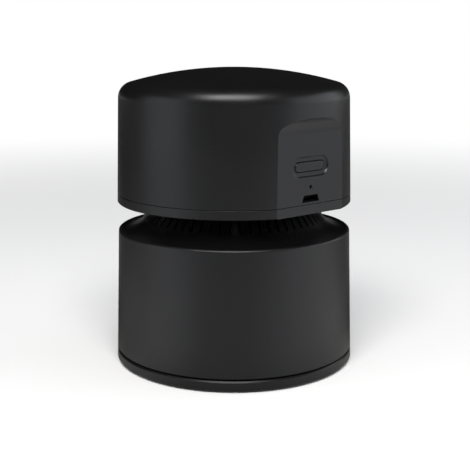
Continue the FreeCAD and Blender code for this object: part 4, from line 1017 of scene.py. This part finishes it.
def soft_box(name, turned, height, distance, width, tall, watts, colour=(1.0, 1.0, 1.0)):
    """Rectangular lamp that faces the machine, turned in degrees from the camera's side."""
    turn = math.radians(turned)
    direction = -away * math.cos(turn) + right * math.sin(turn)
    lamp = bpy.data.lights.new(name, "AREA")
    lamp.shape = "RECTANGLE"
    lamp.size = width
    lamp.size_y = tall
    lamp.energy = watts
    lamp.color = colour
    stand = bpy.data.objects.new(name, lamp)
    stand.location = direction.normalized() * distance + Vector((0, 0, height))
    facing = Vector((0, 0, 0.05)) - stand.location
    stand.rotation_euler = facing.to_track_quat("-Z", "Y").to_euler()
    bpy.context.scene.collection.objects.link(stand)


soft_box("right_box", 91, height=0.33, distance=0.9, width=1.3, tall=0.59, watts=3.4)
soft_box("left_box", -69, height=0.2, distance=0.8, width=0.65, tall=0.6, watts=1.4)
soft_box("front_top_box", -4, height=0.80, distance=0.62, width=0.7, tall=0.45, watts=10.6,
         colour=(1.0, 0.955, 0.89))


def make_surround():
    """White surround for the camera, with a pale horizon and a dim room for the rest."""
    world = bpy.data.worlds.new("white_surround")
    world.use_nodes = True
    bpy.context.scene.world = world
    sky = world.node_tree
    sky.nodes.clear()
    rays = wired(sky, "ShaderNodeLightPath")
    mirrored = mirrored_rays(sky, rays)
    way = wired(sky, "ShaderNodeTexCoord").outputs["Generated"]
    up = wired(sky, "ShaderNodeSeparateXYZ", {0: way}).outputs["Z"]
    horizon = calculated(sky, "MULTIPLY", mirrored, smooth_ramp(sky, up, horizon_band, 1.0, 0.0))
    shown = calculated(sky, "MAXIMUM", rays.outputs["Is Camera Ray"], horizon)
    plain_white = (1.0, 1.0, 1.0, 1.0)
    white = wired(sky, "ShaderNodeBackground", {"Color": plain_white, "Strength": 1.0})
    strength = ramp(sky, mirrored, 0.0, 1.0, room_diffuse, room_glossy)
    room = wired(sky, "ShaderNodeBackground", {"Color": plain_white, "Strength": strength})
    both = wired(sky, "ShaderNodeMixShader", {0: shown, 1: room.outputs[0], 2: white.outputs[0]})
    wired(sky, "ShaderNodeOutputWorld", {"Surface": both.outputs[0]})


make_surround()

camera = bpy.data.objects.new("camera", bpy.data.cameras.new("camera"))
camera.data.sensor_width = 36.0
camera.data.lens = 74.38
camera.data.clip_start = 0.01
camera.data.clip_end = 50.0
camera.location = (-0.21653, -0.25048, 0.113)
dip = math.radians(12.0)
look = away * math.cos(dip) - Vector((0, 0, math.sin(dip)))
camera.rotation_euler = look.to_track_quat("-Z", "Y").to_euler()
bpy.context.scene.collection.objects.link(camera)
bpy.context.scene.camera = camera
bpy.context.scene.view_settings.view_transform = "Standard"
